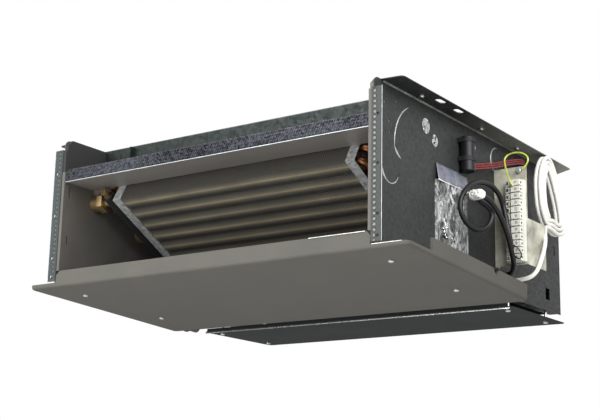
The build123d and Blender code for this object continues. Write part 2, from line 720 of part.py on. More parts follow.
def drain_spigot():
    """Short drain pipe with a collar against the tray's rear rim."""
    z = TRAY_FLOOR + DRAIN_BORE_R
    start = TRAY_DEPTH
    spigot = rod_y(DRAIN_X, z, DRAIN_R, start, start + DRAIN_LENGTH)
    spigot += rod_y(DRAIN_X, z, DRAIN_R + DRAIN_COLLAR, start, start + DRAIN_COLLAR)
    spigot -= rod_y(DRAIN_X, z, DRAIN_BORE_R, start - 1, start + DRAIN_LENGTH + 1)
    return in_tray(spigot)


def bottom_panel():
    """Painted sheet under the fan section, with a folded hem on its front edge."""
    half = HALF + BOTTOM_PANEL_OVERHANG
    high = WEB_LOW - BOTTOM_PANEL_DROP + SHEET
    low = high - SHEET
    panel = block(-half, half, BOTTOM_PANEL_FRONT, BOTTOM_PANEL_REAR, low, high)
    panel = fillet(panel.edges().filter_by(Axis.Z), FLANGE_CORNER_R)
    span = half - FLANGE_CORNER_R
    panel += block(-span, span, BOTTOM_PANEL_FRONT, BOTTOM_PANEL_FRONT + SHEET, low,
                   high + BOTTOM_PANEL_HEM)
    for side in (-1, 1):
        for y in BOTTOM_SCREW_YS:
            panel -= rod_z(side * LOWER_SCREW_X, y, SCREW_R + SCREW_CLEARANCE, low - 1, high + 1)
    return panel


def bottom_panel_screws():
    """Long screws that hold the bottom panel below the side panels."""
    low = WEB_LOW - BOTTOM_PANEL_DROP - SCREW_HEAD
    length = BOTTOM_PANEL_DROP + SHEET + BOTTOM_NUT + 1
    screws = [pan_screw(side * LOWER_SCREW_X, y, low, length)
              for side in (-1, 1) for y in BOTTOM_SCREW_YS]
    return solids_of(screws)


def bottom_panel_nuts():
    """Nuts on the lower flanges, above each long screw, and a second one on the panel."""
    nuts = []
    for side in (-1, 1):
        for y in BOTTOM_SCREW_YS:
            nut = extrude(RegularPolygon(BOTTOM_NUT_R, HEXAGON), BOTTOM_NUT)
            nut -= Pos(0, 0, BOTTOM_NUT / 2) * Cylinder(SCREW_R + SHAFT_FIT, BOTTOM_NUT + 2)
            nuts.append(Pos(side * LOWER_SCREW_X, y, WEB_LOW + SHEET) * nut)
    return solids_of(nuts)


def tube_spot(row, column):
    """Row and column of a tube, as a place in the coil's own frame."""
    return ROW_PITCH * (row + 0.5), COLUMN_PITCH * (column + 0.5)


def coil_fins():
    """Fin block with a waved front and back, bored for its tubes."""
    edges = []
    for row in range(COIL_ROWS):
        y0 = row * ROW_PITCH
        y1 = y0 + ROW_PITCH
        middle = (y0 + y1) / 2
        edges.append(ThreePointArc((y0, FIN_WAVE), (middle, 0), (y1, FIN_WAVE)))
        edges.append(ThreePointArc((y0, COIL_DEPTH - FIN_WAVE), (middle, COIL_DEPTH),
                                   (y1, COIL_DEPTH - FIN_WAVE)))
    edges.append(Line((0, FIN_WAVE), (0, COIL_DEPTH - FIN_WAVE)))
    edges.append(Line((COIL_LENGTH, FIN_WAVE), (COIL_LENGTH, COIL_DEPTH - FIN_WAVE)))
    face = Plane.YZ.offset(-FIN_HALF) * make_face(Curve() + edges)
    fins = extrude(face, 2 * FIN_HALF, dir=(1, 0, 0))
    holes = [rod_x(*tube_spot(row, column), TUBE_R + TUBE_CLEARANCE, -FIN_HALF - 1, FIN_HALF + 1)
             for row in range(COIL_ROWS) for column in range(COIL_COLUMNS)]
    return in_coil(fins - holes)


def coil_tubes():
    """Straight tubes through the fins and end plates."""
    reach = FIN_HALF + SHEET + TUBE_STUB
    tubes = [rod_x(*tube_spot(row, column), TUBE_R, -reach, reach)
             for row in range(COIL_ROWS) for column in range(COIL_COLUMNS)]
    return in_coil(solids_of(tubes))


def return_bend(spot_a, spot_b, side):
    """Half a ring of tube between two tube ends."""
    middle = ((spot_a[0] + spot_b[0]) / 2, (spot_a[1] + spot_b[1]) / 2)
    radius = math.dist(spot_a, spot_b) / 2
    turn = math.degrees(math.atan2(spot_b[1] - spot_a[1], spot_b[0] - spot_a[0]))
    path = CenterArc((0, 0), radius, 0, 180)
    section = Plane(origin=path @ 0, z_dir=path % 0) * Circle(TUBE_R)
    bend = sweep(section, path)
    x = side * (FIN_HALF + SHEET + TUBE_STUB)
    stand = Rot(turn, 0, 0) * Rot(0, 0, -90 * side)
    return Pos(x, *middle) * stand * bend


def circuit_bends(first_row, side):
    """Tube pairs that one circuit joins at this end of the coil."""
    a, b, c = first_row, first_row + 1, first_row + 2
    if side > 0:
        return (((a, 0), (b, 0)), ((c, 0), (c, 1)), ((a, 1), (b, 1)))
    return (((b, 0), (c, 0)), ((b, 1), (c, 1)))


def return_bends(side):
    """All return bends at one end of the coil."""
    bends = []
    for first_row in range(0, COIL_ROWS, CIRCUIT_ROWS):
        for spot_a, spot_b in circuit_bends(first_row, side):
            bends.append(return_bend(tube_spot(*spot_a), tube_spot(*spot_b), side))
    return in_coil(solids_of(bends))


def coil_end_plate(side):
    """End plate with outward flanges on its four sides."""
    x0 = side * FIN_HALF
    x1 = side * (FIN_HALF + SHEET)
    x2 = side * (FIN_HALF + END_PLATE_FLANGE)
    plate = block(x0, x1, 0, COIL_LENGTH, 0, COIL_DEPTH)
    plate += block(x0, x2, 0, COIL_LENGTH, -SHEET, 0)
    plate += block(x0, x2, 0, COIL_LENGTH, COIL_DEPTH, COIL_DEPTH + SHEET)
    plate += block(x0, x2, -SHEET, 0, -SHEET, COIL_DEPTH + SHEET)
    plate += block(x0, x2, COIL_LENGTH, COIL_LENGTH + SHEET, -SHEET, COIL_DEPTH + SHEET)
    holes = [rod_x(*tube_spot(row, column), TUBE_R + END_PLATE_HOLE_GAP, x0 - CUT, x1 + CUT)
             for row in range(COIL_ROWS) for column in range(COIL_COLUMNS)]
    return in_coil(plate - holes)


def header(column):
    """Header pipe at the left end, with a stub to each circuit."""
    x = -(FIN_HALF + HEADER_OFFSET)
    last_row = COIL_ROWS - CIRCUIT_ROWS
    y0 = tube_spot(0, column)[0] - HEADER_OVERHANG
    y1 = tube_spot(last_row, column)[0] + HEADER_OVERHANG
    z = tube_spot(0, column)[1]
    pipe = rod_y(x, z, HEADER_R, y0, y1)
    for row in range(0, COIL_ROWS, CIRCUIT_ROWS):
        y = tube_spot(row, column)[0]
        pipe += rod_x(y, z, TUBE_R, x, -(FIN_HALF + SHEET + TUBE_STUB))
    return in_coil(pipe)


def water_union(row, column):
    """Brass union with a hexagon and a threaded mouth towards the left side panel."""
    y, z = tube_spot(row, column)
    start = -(FIN_HALF + HEADER_OFFSET + HEADER_R)
    neck_end = start - UNION_NECK_LENGTH
    hex_end = neck_end - UNION_HEX_LENGTH
    mouth = hex_end - UNION_BODY_LENGTH
    union = rod_x(y, z, UNION_NECK_R, start + HEADER_R, neck_end)
    union -= rod_y(start + HEADER_R, z, HEADER_R, y - HEADER_R * 2, y + HEADER_R * 2)
    outline = Plane.YZ.offset(hex_end) * Pos(y, z) * RegularPolygon(
        UNION_HEX / 2, HEXAGON, major_radius=False)
    union += extrude(outline, UNION_HEX_LENGTH, dir=(1, 0, 0))
    union += rod_x(y, z, UNION_BODY_R, mouth, hex_end)
    union -= rod_x(y, z, UNION_BORE_R, mouth - 1, mouth + UNION_BORE_LENGTH)
    return in_coil(union)


def vent_place():
    """Where the air vent stands: X, Y and Z of the supply header's upper end."""
    y, z = tube_spot(0, 0)
    return -(FIN_HALF + HEADER_OFFSET), y - HEADER_OVERHANG, z


def air_vent_body():
    """Brass vent boss on the header's upper end."""
    x, y, z = vent_place()
    body = rod_y(x, z, VENT_BODY_R, y - VENT_BODY_LENGTH, y)
    body -= rod_y(x, z, VENT_SCREW_R + VENT_SCREW_FIT, y - VENT_BODY_LENGTH - 1, y - 1)
    return in_coil(body)


def air_vent_screw():
    """Slotted vent screw that turns in the boss."""
    x, y, z = vent_place()
    mouth = y - VENT_BODY_LENGTH
    screw = rod_y(x, z, VENT_SCREW_R, mouth - SEAT_GAP, y - VENT_TIP_GAP)
    screw += rod_y(x, z, VENT_HEAD_R, mouth - SEAT_GAP - VENT_HEAD, mouth - SEAT_GAP)
    slot = block(x - VENT_HEAD_R - 1, x + VENT_HEAD_R + 1, mouth - SEAT_GAP - VENT_HEAD - 1,
                 mouth - SEAT_GAP - VENT_HEAD + VENT_SLOT_DEPTH, z - VENT_SLOT_WIDTH / 2,
                 z + VENT_SLOT_WIDTH / 2)
    return in_coil(screw - slot)


def scroll_outline(wall):
    """Fan scroll in Y and Z: three quarter arcs that grow, then the straight outlet duct."""
    y, z = FAN_CENTRE_Y, FAN_CENTRE_Z
    grow = SCROLL_GROWTH
    r1 = SCROLL_R - wall
    r2 = r1 + grow
    r3 = r2 + grow
    low = CenterArc((y, z), r1, 180, 90)
    rear = CenterArc((y, z + grow), r2, 270, 90)
    high = CenterArc((y - grow, z + grow), r3, 0, 90)
    roof = Line((y - grow, z + grow + r3), (DECK_Y - 1, z + grow + r3))
    floor_start = (DECK_Y - 1, z + SCROLL_OUTLET_LOW + wall)
    mouth = Line((DECK_Y - 1, z + grow + r3), floor_start)
    tongue = (y - r1, z + SCROLL_OUTLET_LOW + wall)
    duct_floor = Line(floor_start, tongue)
    nose = Line(tongue, (y - r1, z))
    return make_face(Curve() + [low, rear, high, roof, mouth, duct_floor, nose])


def fan_scroll(x):
    """Scroll housing of one fan: a wrap with its flange, between two side plates with inlets."""
    half = SCROLL_WIDTH / 2
    inner_half = half - SCROLL_SHEET
    flange_face = DECK_Y + SHEET
    flange_back = flange_face + SHEET
    wrap_face = scroll_outline(0) - scroll_outline(SCROLL_SHEET)
    wrap = extrude(Plane.YZ.offset(x - inner_half) * wrap_face, 2 * inner_half, dir=(1, 0, 0))
    wrap -= block(x - half, x + half, DECK_Y - CUT, flange_face, 0, CASE_HEIGHT)
    wrap -= block(x - inner_half - 1, x + inner_half + 1, DECK_Y - CUT, DECK_Y + CUT,
                  MOUTH_LOW, MOUTH_HIGH)
    flange_x = half + SCROLL_FLANGE
    flange = block(x - flange_x, x + flange_x, flange_face, flange_back,
                   MOUTH_LOW - SCROLL_FLANGE, MOUTH_HIGH + SCROLL_SHEET)
    flange -= block(x - inner_half, x + inner_half, DECK_Y, DECK_Y + CUT, MOUTH_LOW, MOUTH_HIGH)
    pieces = [wrap + flange]
    for side in (-1, 1):
        start = x + side * inner_half
        wall_x = x + side * half
        plate = extrude(Plane.YZ.offset(start) * scroll_outline(0), SCROLL_SHEET, dir=(side, 0, 0))
        plate -= block(x - half - 1, x + half + 1, DECK_Y - CUT, flange_back, 0, CASE_HEIGHT)
        plate += rod_x(FAN_CENTRE_Y, FAN_CENTRE_Z, INLET_LIP_R, wall_x, wall_x + side * INLET_LIP)
        plate -= rod_x(FAN_CENTRE_Y, FAN_CENTRE_Z, SCROLL_INLET_R, start - side,
                       wall_x + side * (INLET_LIP + 1))
        pieces.append(plate)
    return pieces


def coil_rest():
    """Folded sheet from the fan deck that carries the coil's lower end."""
    half = FIN_HALF + END_PLATE_FLANGE
    rest = in_coil(block(-half, half, COIL_LENGTH - COIL_REST_LIP, COIL_LENGTH + SHEET,
                         -2 * SHEET, -SHEET))
    low_edge = rest.edges().filter_by(Axis.X).sort_by(Axis.Z)[0].center()
    low = low_edge.Z - SHEET * REST_DROP
    rest += block(-half, half, low_edge.Y - SHEET * REST_LAP, DECK_Y, low, low + SHEET)
    rest += block(-half, half, DECK_Y - SHEET, DECK_Y, low, low + COIL_REST_LIP)
    return rest


def fan_deck():
    """Upright sheet between the side panels that carries the two fans and the motor cradle."""
    half = INNER - SEAT_GAP
    deck_low = WEB_LOW + SHEET + SEAT_GAP
    high = FLANGE_TOP - SEAT_GAP
    deck = block(-half, half, DECK_Y, DECK_Y + SHEET, deck_low, high)
    deck += block(-half, half, DECK_Y, DECK_Y + LOWER_FLANGE, high - SHEET, high)
    for side in (-1, 1):
        deck += block(side * half, side * (half - SHEET), DECK_Y, DECK_Y + LOWER_FLANGE,
                      deck_low + LOWER_FLANGE, high)
        x = side * FAN_CENTRE_X
        inner_half = SCROLL_WIDTH / 2 - SCROLL_SHEET
        deck -= block(x - inner_half, x + inner_half, DECK_Y - 1, DECK_Y + 2, MOUTH_LOW, MOUTH_HIGH)
    return deck


def blade_face():
    """Section of one forward-curved blade near the rim, in the wheel's plane."""
    inner = WHEEL_R - BLADE_CHORD
    outer = WHEEL_R - RING_WALL
    bulge = (inner + outer) / 2
    back_rise = BLADE_RISE + BLADE_THICKNESS
    back_tip = BLADE_TIP + BLADE_THICKNESS
    front = ThreePointArc((inner, 0), (bulge, BLADE_RISE), (outer, BLADE_TIP))
    back = ThreePointArc((inner, BLADE_THICKNESS), (bulge, back_rise), (outer, back_tip))
    tips = [Line((inner, 0), (inner, BLADE_THICKNESS)), Line((outer, BLADE_TIP), (outer, back_tip))]
    return make_face(Curve() + [front, back] + tips)


def at_wheels(pieces):
    """Copies of a wheel's pieces in both wheels."""
    spots = [Pos(side * FAN_CENTRE_X, FAN_CENTRE_Y, FAN_CENTRE_Z) * Rot(0, 90, 0)
             for side in (-1, 1)]
    return [spot * piece for spot in spots for piece in pieces]


def impeller_plates():
    """Middle plate with its hub, one in each double-inlet wheel."""
    plate = Cylinder(WHEEL_R - BLADE_CHORD - WHEEL_FIT, HUB_PLATE) + Cylinder(HUB_R, HUB_LENGTH)
    return at_wheels([plate - Cylinder(SHAFT_R + SHAFT_FIT, HUB_LENGTH + 2)])


def impeller_blades():
    """Forward-curved blades, fixed to the middle plate's rim and held by the end rings."""
    blade = extrude(Pos(0, 0, -WHEEL_WIDTH / 2) * blade_face(), WHEEL_WIDTH)
    blade &= Cylinder(WHEEL_R - RING_WALL - WHEEL_FIT, WHEEL_WIDTH + 2)
    return at_wheels([Rot(0, 0, 360 * step / BLADE_COUNT) * blade for step in range(BLADE_COUNT)])


def impeller_rings():
    """End rings round the blades' tips."""
    ring = Cylinder(WHEEL_R, RING_HEIGHT) - Cylinder(WHEEL_R - RING_WALL, RING_HEIGHT + 1)
    middle = (WHEEL_WIDTH - RING_HEIGHT) / 2
    return at_wheels([Pos(0, 0, -middle) * ring, Pos(0, 0, middle) * ring])


def motor_shaft():
    """Shaft through the motor and both hubs."""
    reach = FAN_CENTRE_X + HUB_LENGTH / 2 + SHAFT_OVERHANG
    shaft = rod_x(FAN_CENTRE_Y, FAN_CENTRE_Z, SHAFT_R, -reach, reach)
    return chamfer(shaft.edges().filter_by(GeomType.CIRCLE), SHAFT_CHAMFER)


def motor_housing():
    """Motor body, bored for the shaft."""
    body = Cylinder(MOTOR_R, MOTOR_LENGTH)
    body = fillet(body.edges().filter_by(GeomType.CIRCLE), MOTOR_EDGE_R)
    for step in range(MOTOR_SLOTS):
        turn = Rot(0, 0, 360 * step / MOTOR_SLOTS)
        body -= turn * Pos(MOTOR_R, 0, 0) * Box(2 * MOTOR_SLOT_DEPTH, MOTOR_SLOT, MOTOR_SLOT_LENGTH)
    body -= Cylinder(SHAFT_R + SHAFT_RELIEF, MOTOR_LENGTH + CUT)
    return Pos(0, FAN_CENTRE_Y, FAN_CENTRE_Z) * Rot(0, 90, 0) * body


def motor_end_cap(side):
    """End cap with a boss that carries a bearing and the rubber ring."""
    start = MOTOR_LENGTH / 2
    cap = Pos(0, 0, start + MOTOR_CAP_LENGTH / 2) * Cylinder(MOTOR_CAP_R, MOTOR_CAP_LENGTH)
    cap = fillet(cap.edges().filter_by(GeomType.CIRCLE).group_by(Axis.Z)[-1], MOTOR_CAP_EDGE_R)
    boss_end = start + MOTOR_CAP_LENGTH + MOTOR_BOSS_LENGTH
    cap += Pos(0, 0, boss_end - MOTOR_BOSS_LENGTH / 2) * Cylinder(MOTOR_BOSS_R, MOTOR_BOSS_LENGTH)
    cap -= Pos(0, 0, boss_end - BEARING_WIDTH / 2) * Cylinder(BEARING_R, BEARING_WIDTH)
    cap -= Pos(0, 0, start + MOTOR_CAP_LENGTH / 2) * Cylinder(SHAFT_R + SHAFT_RELIEF,
                                                              MOTOR_CAP_LENGTH + 4 * CUT)
    centre = Pos(0, FAN_CENTRE_Y, FAN_CENTRE_Z)
    return centre * Rot(0, 90 * side, 0) * cap


def motor_bearing(side):
    """Ring bearing in the cap's boss, round the shaft."""
    end = MOTOR_LENGTH / 2 + MOTOR_CAP_LENGTH + MOTOR_BOSS_LENGTH
    ring = Cylinder(BEARING_R, BEARING_WIDTH) - Cylinder(SHAFT_R + SHAFT_FIT, BEARING_WIDTH + 1)
    centre = Pos(0, FAN_CENTRE_Y, FAN_CENTRE_Z)
    return centre * Rot(0, 90 * side, 0) * Pos(0, 0, end - BEARING_WIDTH / 2) * ring


def motor_rubber_ring(side):
    """Rubber ring on the boss, held by the cradle."""
    start = MOTOR_LENGTH / 2 + MOTOR_CAP_LENGTH
    ring = Cylinder(RUBBER_R, RUBBER_WIDTH) - Cylinder(MOTOR_BOSS_R, RUBBER_WIDTH + 1)
    centre = Pos(0, FAN_CENTRE_Y, FAN_CENTRE_Z)
    return centre * Rot(0, 90 * side, 0) * Pos(0, 0, start + RUBBER_WIDTH / 2) * ring


def motor_cradle():
    """Bracket from the fan deck, with an arm round each rubber ring."""
    start = MOTOR_LENGTH / 2 + MOTOR_CAP_LENGTH
    edge = RUBBER_R + CRADLE_EDGE
    low = FAN_CENTRE_Z - edge
    high = FAN_CENTRE_Z + edge
    deck_face = DECK_Y + SHEET
    reach = start + CRADLE_WIDTH
    cradle = block(-reach, reach, deck_face, deck_face + CRADLE_PLATE, low, high)
    for side in (-1, 1):
        arm = block(side * start, side * reach, deck_face, FAN_CENTRE_Y + edge, low, high)
        arm -= rod_x(FAN_CENTRE_Y, FAN_CENTRE_Z, RUBBER_R, side * (start - 1), side * (reach + 1))
        arm -= block(side * (start - 1), side * (reach + 1), deck_face + CRADLE_WEB,
                     FAN_CENTRE_Y - RUBBER_R - CRADLE_WEB, low + CRADLE_RAIL, high - CRADLE_RAIL)
        cradle += arm
    return cradle


def filter_frame():
    """Frame of the air filter, with cross bars and a pull tab below."""
    rear = CASE_DEPTH - SHEET - SEAT_GAP
    front = rear - FILTER_THICKNESS
    half = INNER - FILTER_SIDE_GAP
    high = FLANGE_TOP - SEAT_GAP
    frame = block(-half, half, front, rear, FILTER_LOW, high)
    inner = half - FILTER_FRAME
    frame -= block(-inner, inner, front - 1, rear + 1, FILTER_LOW + FILTER_FRAME,
                   high - FILTER_FRAME)
    for step in range(1, FILTER_BARS + 1):
        x = -inner + 2 * inner * step / (FILTER_BARS + 1)
        bar = FILTER_BAR_WIDTH / 2
        frame += block(x - bar, x + bar, front, front + FILTER_BAR_DEPTH, FILTER_LOW + SHEET,
                       high - SHEET)
    groove = front + FILTER_GROOVE
    bite = FILTER_MESH_BITE + SEAT_GAP
    frame -= block(-inner - bite, inner + bite, groove, groove + FILTER_MESH + 2 * SEAT_GAP,
                   FILTER_LOW + FILTER_FRAME - bite, high - FILTER_FRAME + bite)
    return frame


def filter_mesh():
    """Filter cloth in the frame's groove."""
    rear = CASE_DEPTH - SHEET - SEAT_GAP
    groove = rear - FILTER_THICKNESS + FILTER_GROOVE
    inner = INNER - FILTER_SIDE_GAP - FILTER_FRAME
    high = FLANGE_TOP - SEAT_GAP
    bite = FILTER_MESH_BITE
    return block(-inner - bite, inner + bite, groove + SEAT_GAP, groove + SEAT_GAP + FILTER_MESH,
                 FILTER_LOW + FILTER_FRAME - bite, high - FILTER_FRAME + bite)


def filter_guide():
    """Angle strip on the right side panel that holds the filter against the rear flange."""
    face = CASE_DEPTH - SHEET - 2 * SEAT_GAP - FILTER_THICKNESS
    guide = block(INNER - GUIDE_LEG, INNER, face - SHEET, face, WEB_LOW + GUIDE_RAISE, FLANGE_TOP)
    guide += block(INNER - SHEET, INNER, face - GUIDE_LEG, face, WEB_LOW + GUIDE_RAISE, FLANGE_TOP)
    return guide


def terminal_bracket():
    """Bracket for the terminals, with a foot on the side panel and a return to the rear."""
    x1 = HALF + BRACKET_REACH
    y0 = BRACKET_Y
    bracket = block(HALF, x1, y0, y0 + SHEET, BRACKET_LOW, BRACKET_HIGH)
    bracket += block(HALF, HALF + SHEET, y0, y0 + BRACKET_FOOT, BRACKET_LOW, BRACKET_HIGH)
    bracket += block(x1 - SHEET, x1, y0, y0 + BRACKET_RETURN, BRACKET_LOW, BRACKET_RETURN_HIGH)
    return bracket


def terminal_block():
    """Row of poles on a base, with a gap between neighbours and a bore for each screw."""
    x0 = TERMINAL_X
    x1 = x0 + TERMINAL_WIDTH
    y1 = BRACKET_Y
    y0 = y1 - TERMINAL_BASE
    high = TERMINAL_LOW + TERMINAL_POLES * TERMINAL_PITCH
    base = block(x0, x1, y0, y1, TERMINAL_LOW, high)
    front = y0 - TERMINAL_TOWER
    middle = (x0 + x1) / 2
    for step in range(TERMINAL_POLES):
        z0 = TERMINAL_LOW + step * TERMINAL_PITCH + TERMINAL_GAP / 2
        z1 = z0 + TERMINAL_PITCH - TERMINAL_GAP
        base += block(middle - TERMINAL_INSET, x1 - TERMINAL_INSET, front, y0, z0, z1)
        base += block(x0 + TERMINAL_INSET, middle - TERMINAL_SPLIT, front + TERMINAL_STEP, y0,
                      z0, z1)
    holes = []
    for step in range(TERMINAL_POLES):
        z = TERMINAL_LOW + (step + 0.5) * TERMINAL_PITCH
        holes.append(rod_y((middle + x1) / 2 - TERMINAL_INSET, z,
                           TERMINAL_SCREW_R + TERMINAL_SCREW_FIT, front - 1,
                           front + TERMINAL_BORE_DEPTH))
    return base - holes


def terminal_screws():
    """Slotted clamp screws, one in each pole."""
    x1 = TERMINAL_X + TERMINAL_WIDTH
    middle = TERMINAL_X + TERMINAL_WIDTH / 2
    x = (middle + x1) / 2 - TERMINAL_INSET
    front = BRACKET_Y - TERMINAL_BASE - TERMINAL_TOWER
    screws = []
    for step in range(TERMINAL_POLES):
        z = TERMINAL_LOW + (step + 0.5) * TERMINAL_PITCH
        screw = rod_y(x, z, TERMINAL_SCREW_R, front + TERMINAL_SUNK, front + TERMINAL_BORE_DEPTH)
        half_slot = TERMINAL_SCREW_SLOT / 2
        screw -= block(x - TERMINAL_SCREW_R, x + TERMINAL_SCREW_R, front,
                       front + TERMINAL_SLOT_DEPTH, z - half_slot, z + half_slot)
        screws.append(screw)
    return solids_of(screws)


def motor_capacitor():
    """Run capacitor that lies upright against the side panel."""
    x = HALF + CAPACITOR_R
    can = rod_z(x, CAPACITOR_Y, CAPACITOR_R, CAPACITOR_LOW, CAPACITOR_LOW + CAPACITOR_LENGTH)
    return fillet(can.edges().filter_by(GeomType.CIRCLE), CAPACITOR_EDGE_R)


def capacitor_strap():
    """Two straps round the capacitor, each with a long ear towards the rear."""
    x = HALF + CAPACITOR_R
    y = CAPACITOR_Y
    outer = CAPACITOR_R + SHEET
    straps = []
    for height in STRAP_HEIGHTS:
        z0 = CAPACITOR_LOW + height - STRAP_WIDTH / 2
        z1 = z0 + STRAP_WIDTH
        strap = rod_z(x, y, outer, z0, z1)
        strap += block(HALF, x, y - outer, y + outer, z0, z1)
        strap -= rod_z(x, y, CAPACITOR_R, z0 - 1, z1 + 1)
        strap -= block(HALF - 1, x, y - CAPACITOR_R, y + CAPACITOR_R, z0 - 1, z1 + 1)
        strap += block(HALF, HALF + SHEET, y + CAPACITOR_R, y + outer + STRAP_EAR, z0, z1)
        strap -= rod_x(STRAP_SCREW_Y, (z0 + z1) / 2, SCREW_R + SCREW_CLEARANCE, INNER, HALF + CUT)
        straps.append(strap)
    return solids_of(straps)


def strap_screws():
    """One screw through each strap's ear."""
    screws = []
    for height in STRAP_HEIGHTS:
        z = CAPACITOR_LOW + height
        head = rod_x(STRAP_SCREW_Y, z, SCREW_HEAD_R, HALF + SHEET, HALF + SHEET + SCREW_HEAD)
        screws.append(chamfer(head.edges().group_by(Axis.X)[-1], SCREW_HEAD * HEAD_CHAMFER))
    return solids_of(screws)


def cable_grommets():
    """Rubber grommets in the side panel's cable entries."""
    rings = []
    entries = (
        (BLACK_GROMMET, BLACK_CABLE), (WHITE_GROMMET, WHITE_CABLE), (WIRE_GROMMET, RED_WIRES_BORE),
    )
    for (y, z), cable in entries:
        start = HALF
        ring = rod_x(y, z, GROMMET_R + GROMMET_LIP, start, start + GROMMET_THICKNESS)
        ring += rod_x(y, z, GROMMET_R - SEAT_GAP, INNER - GROMMET_TAIL, start)
        ring = ring - rod_x(y, z, cable / 2, INNER - CUT, start + GROMMET_THICKNESS + 1)
        rings.append(ring)
    return solids_of(rings)


def corner_radii(points):
    """Largest arcs that each pair of runs allows."""
    radii = []
    for before, corner, after in zip(points, points[1:], points[2:]):
        run_in = Vector(*corner) - Vector(*before)
        run_out = Vector(*after) - Vector(*corner)
        half_turn = math.radians(run_in.get_angle(run_out)) / 2
        radii.append(CORNER_SHARE * min(run_in.length, run_out.length) / math.tan(half_turn))
    return radii


def cord(route, diameter, name):
    """A round cord along straight runs joined by tangent arcs, its X counted from the side panel."""
    points = [(HALF + x, y, z) for x, y, z in route]
    radii = corner_radii(points)
    path = FilletPolyline(*points, radius=radii)
    section = Plane(origin=path @ 0, z_dir=path % 0) * Circle(diameter / 2)
    tube = sweep(section, path)
    expected = math.pi * diameter ** 2 / 4 * path.length
    smallest = min(radii)
    print(f"{name}: length {path.length:.0f}, smallest radius {smallest:.0f}, "
          f"volume ratio {tube.volume / expected:.3f}, radii {[round(r) for r in radii]}")
    return tube


def red_wires():
    """Wires from the cable entry to the back of the terminals."""
    wires = []
    for step in range(RED_WIRE_COUNT):
        offset = (step - 1) * WIRE * RED_WIRE_PITCH
        route = [(x, y, z + offset) for x, y, z in RED_WIRE_ROUTE]
        wires.append(cord(route, WIRE, f"red wire {step + 1}"))
    return solids_of(wires)


def black_cable_route():
    """Points of the black cable: over an arc, round its loop, to the fold and down again."""
    cx, cy, cz = LOOP_CENTRE
    lean = math.radians(LOOP_LEAN)
    reach = LOOP_R / math.cos(math.radians(LOOP_STEP / 2))
    ring = []
    for step in range(LOOP_TURNS):
        turn = math.radians(180 + LOOP_STEP * step)
        across = reach * math.cos(turn)
        ring.append((cx + across * math.sin(lean), cy + across * math.cos(lean),
                     cz + reach * math.sin(turn)))
    return list(LOOP_LEAD_IN) + ring + list(LOOP_LEAD_OUT)


def cable_tie():
    """Tie round the two strands of the black cable beside its fold."""
    strand_a = Vector(*LOOP_LEAD_OUT[1])
    strand_b = Vector(*LOOP_LEAD_OUT[2])
    along = Vector(*LOOP_LEAD_OUT[3]) - strand_b
    along = Vector(0, along.Y, along.Z).normalized()
    middle = (strand_a + strand_b) / 2 + along * TIE_SETBACK + Vector(HALF, 0, 0)
    wide = strand_b.X - strand_a.X + BLACK_CABLE + 2 * TIE_GAP
    tall = BLACK_CABLE + 2 * TIE_GAP
    inner = extrude(RectangleRounded(wide, tall, tall / 2 - TIE_MARGIN), TIE_WIDTH)
    outer = extrude(RectangleRounded(wide + 2 * TIE_THICKNESS, tall + 2 * TIE_THICKNESS,
                                     tall / 2 + TIE_THICKNESS - TIE_MARGIN), TIE_WIDTH)
    head = Pos(-wide / 4, tall / 2 + TIE_THICKNESS * 3 / 2, TIE_WIDTH / 2) * Box(
        TIE_HEAD, TIE_THICKNESS * 2, TIE_WIDTH)
    band = outer + head - inner
    return Plane(origin=middle, x_dir=(1, 0, 0), z_dir=along) * Pos(0, 0, -TIE_WIDTH / 2) * band


def earth_screw():
    """Screw with a washer on the bracket, for the earth wire's lug."""
    washer = rod_y(EARTH_SCREW_X, EARTH_SCREW_Z, WASHER_R, BRACKET_Y - SHEET, BRACKET_Y)
    head = rod_y(EARTH_SCREW_X, EARTH_SCREW_Z, SCREW_HEAD_R, BRACKET_Y - SHEET - SCREW_HEAD,
                 BRACKET_Y - SHEET)
    return washer + chamfer(head.edges().group_by(Axis.Y)[0], SCREW_HEAD * HEAD_CHAMFER)


def white_cable_hank():
    """Outer shape of the folded white cable, narrow at its tie and round below."""
    points = [HANK_TOP] + list(HANK_OUTLINE)
    face = make_face(Polyline(*points, close=True))
    face = fillet(face.vertices(), HANK_CORNER_R)
    x0 = HALF + HANK_OUT - HANK_THICKNESS / 2
    hank = extrude(Plane.YZ.offset(x0) * face, HANK_THICKNESS, dir=(1, 0, 0))
    return hank


def accessory_bag():
    """Bag of small parts that hangs on the side panel, with a folded flap."""
    y0, y1, z0, z1 = ACCESSORY_BAG
    x0 = HALF + SEAT_GAP
    bag = block(x0, x0 + BAG_THICKNESS, y0, y1, z0, z1 - BAG_FLAP)
    bag = fillet(bag.edges(), BAG_EDGE_R)
    flap = block(x0, x0 + BAG_FLAP_THICKNESS, y0 + BAG_FLAP_INSET, y1 - BAG_FLAP_INSET,
                 z1 - BAG_FLAP - BAG_FLAP_LAP, z1)
    return bag + flap


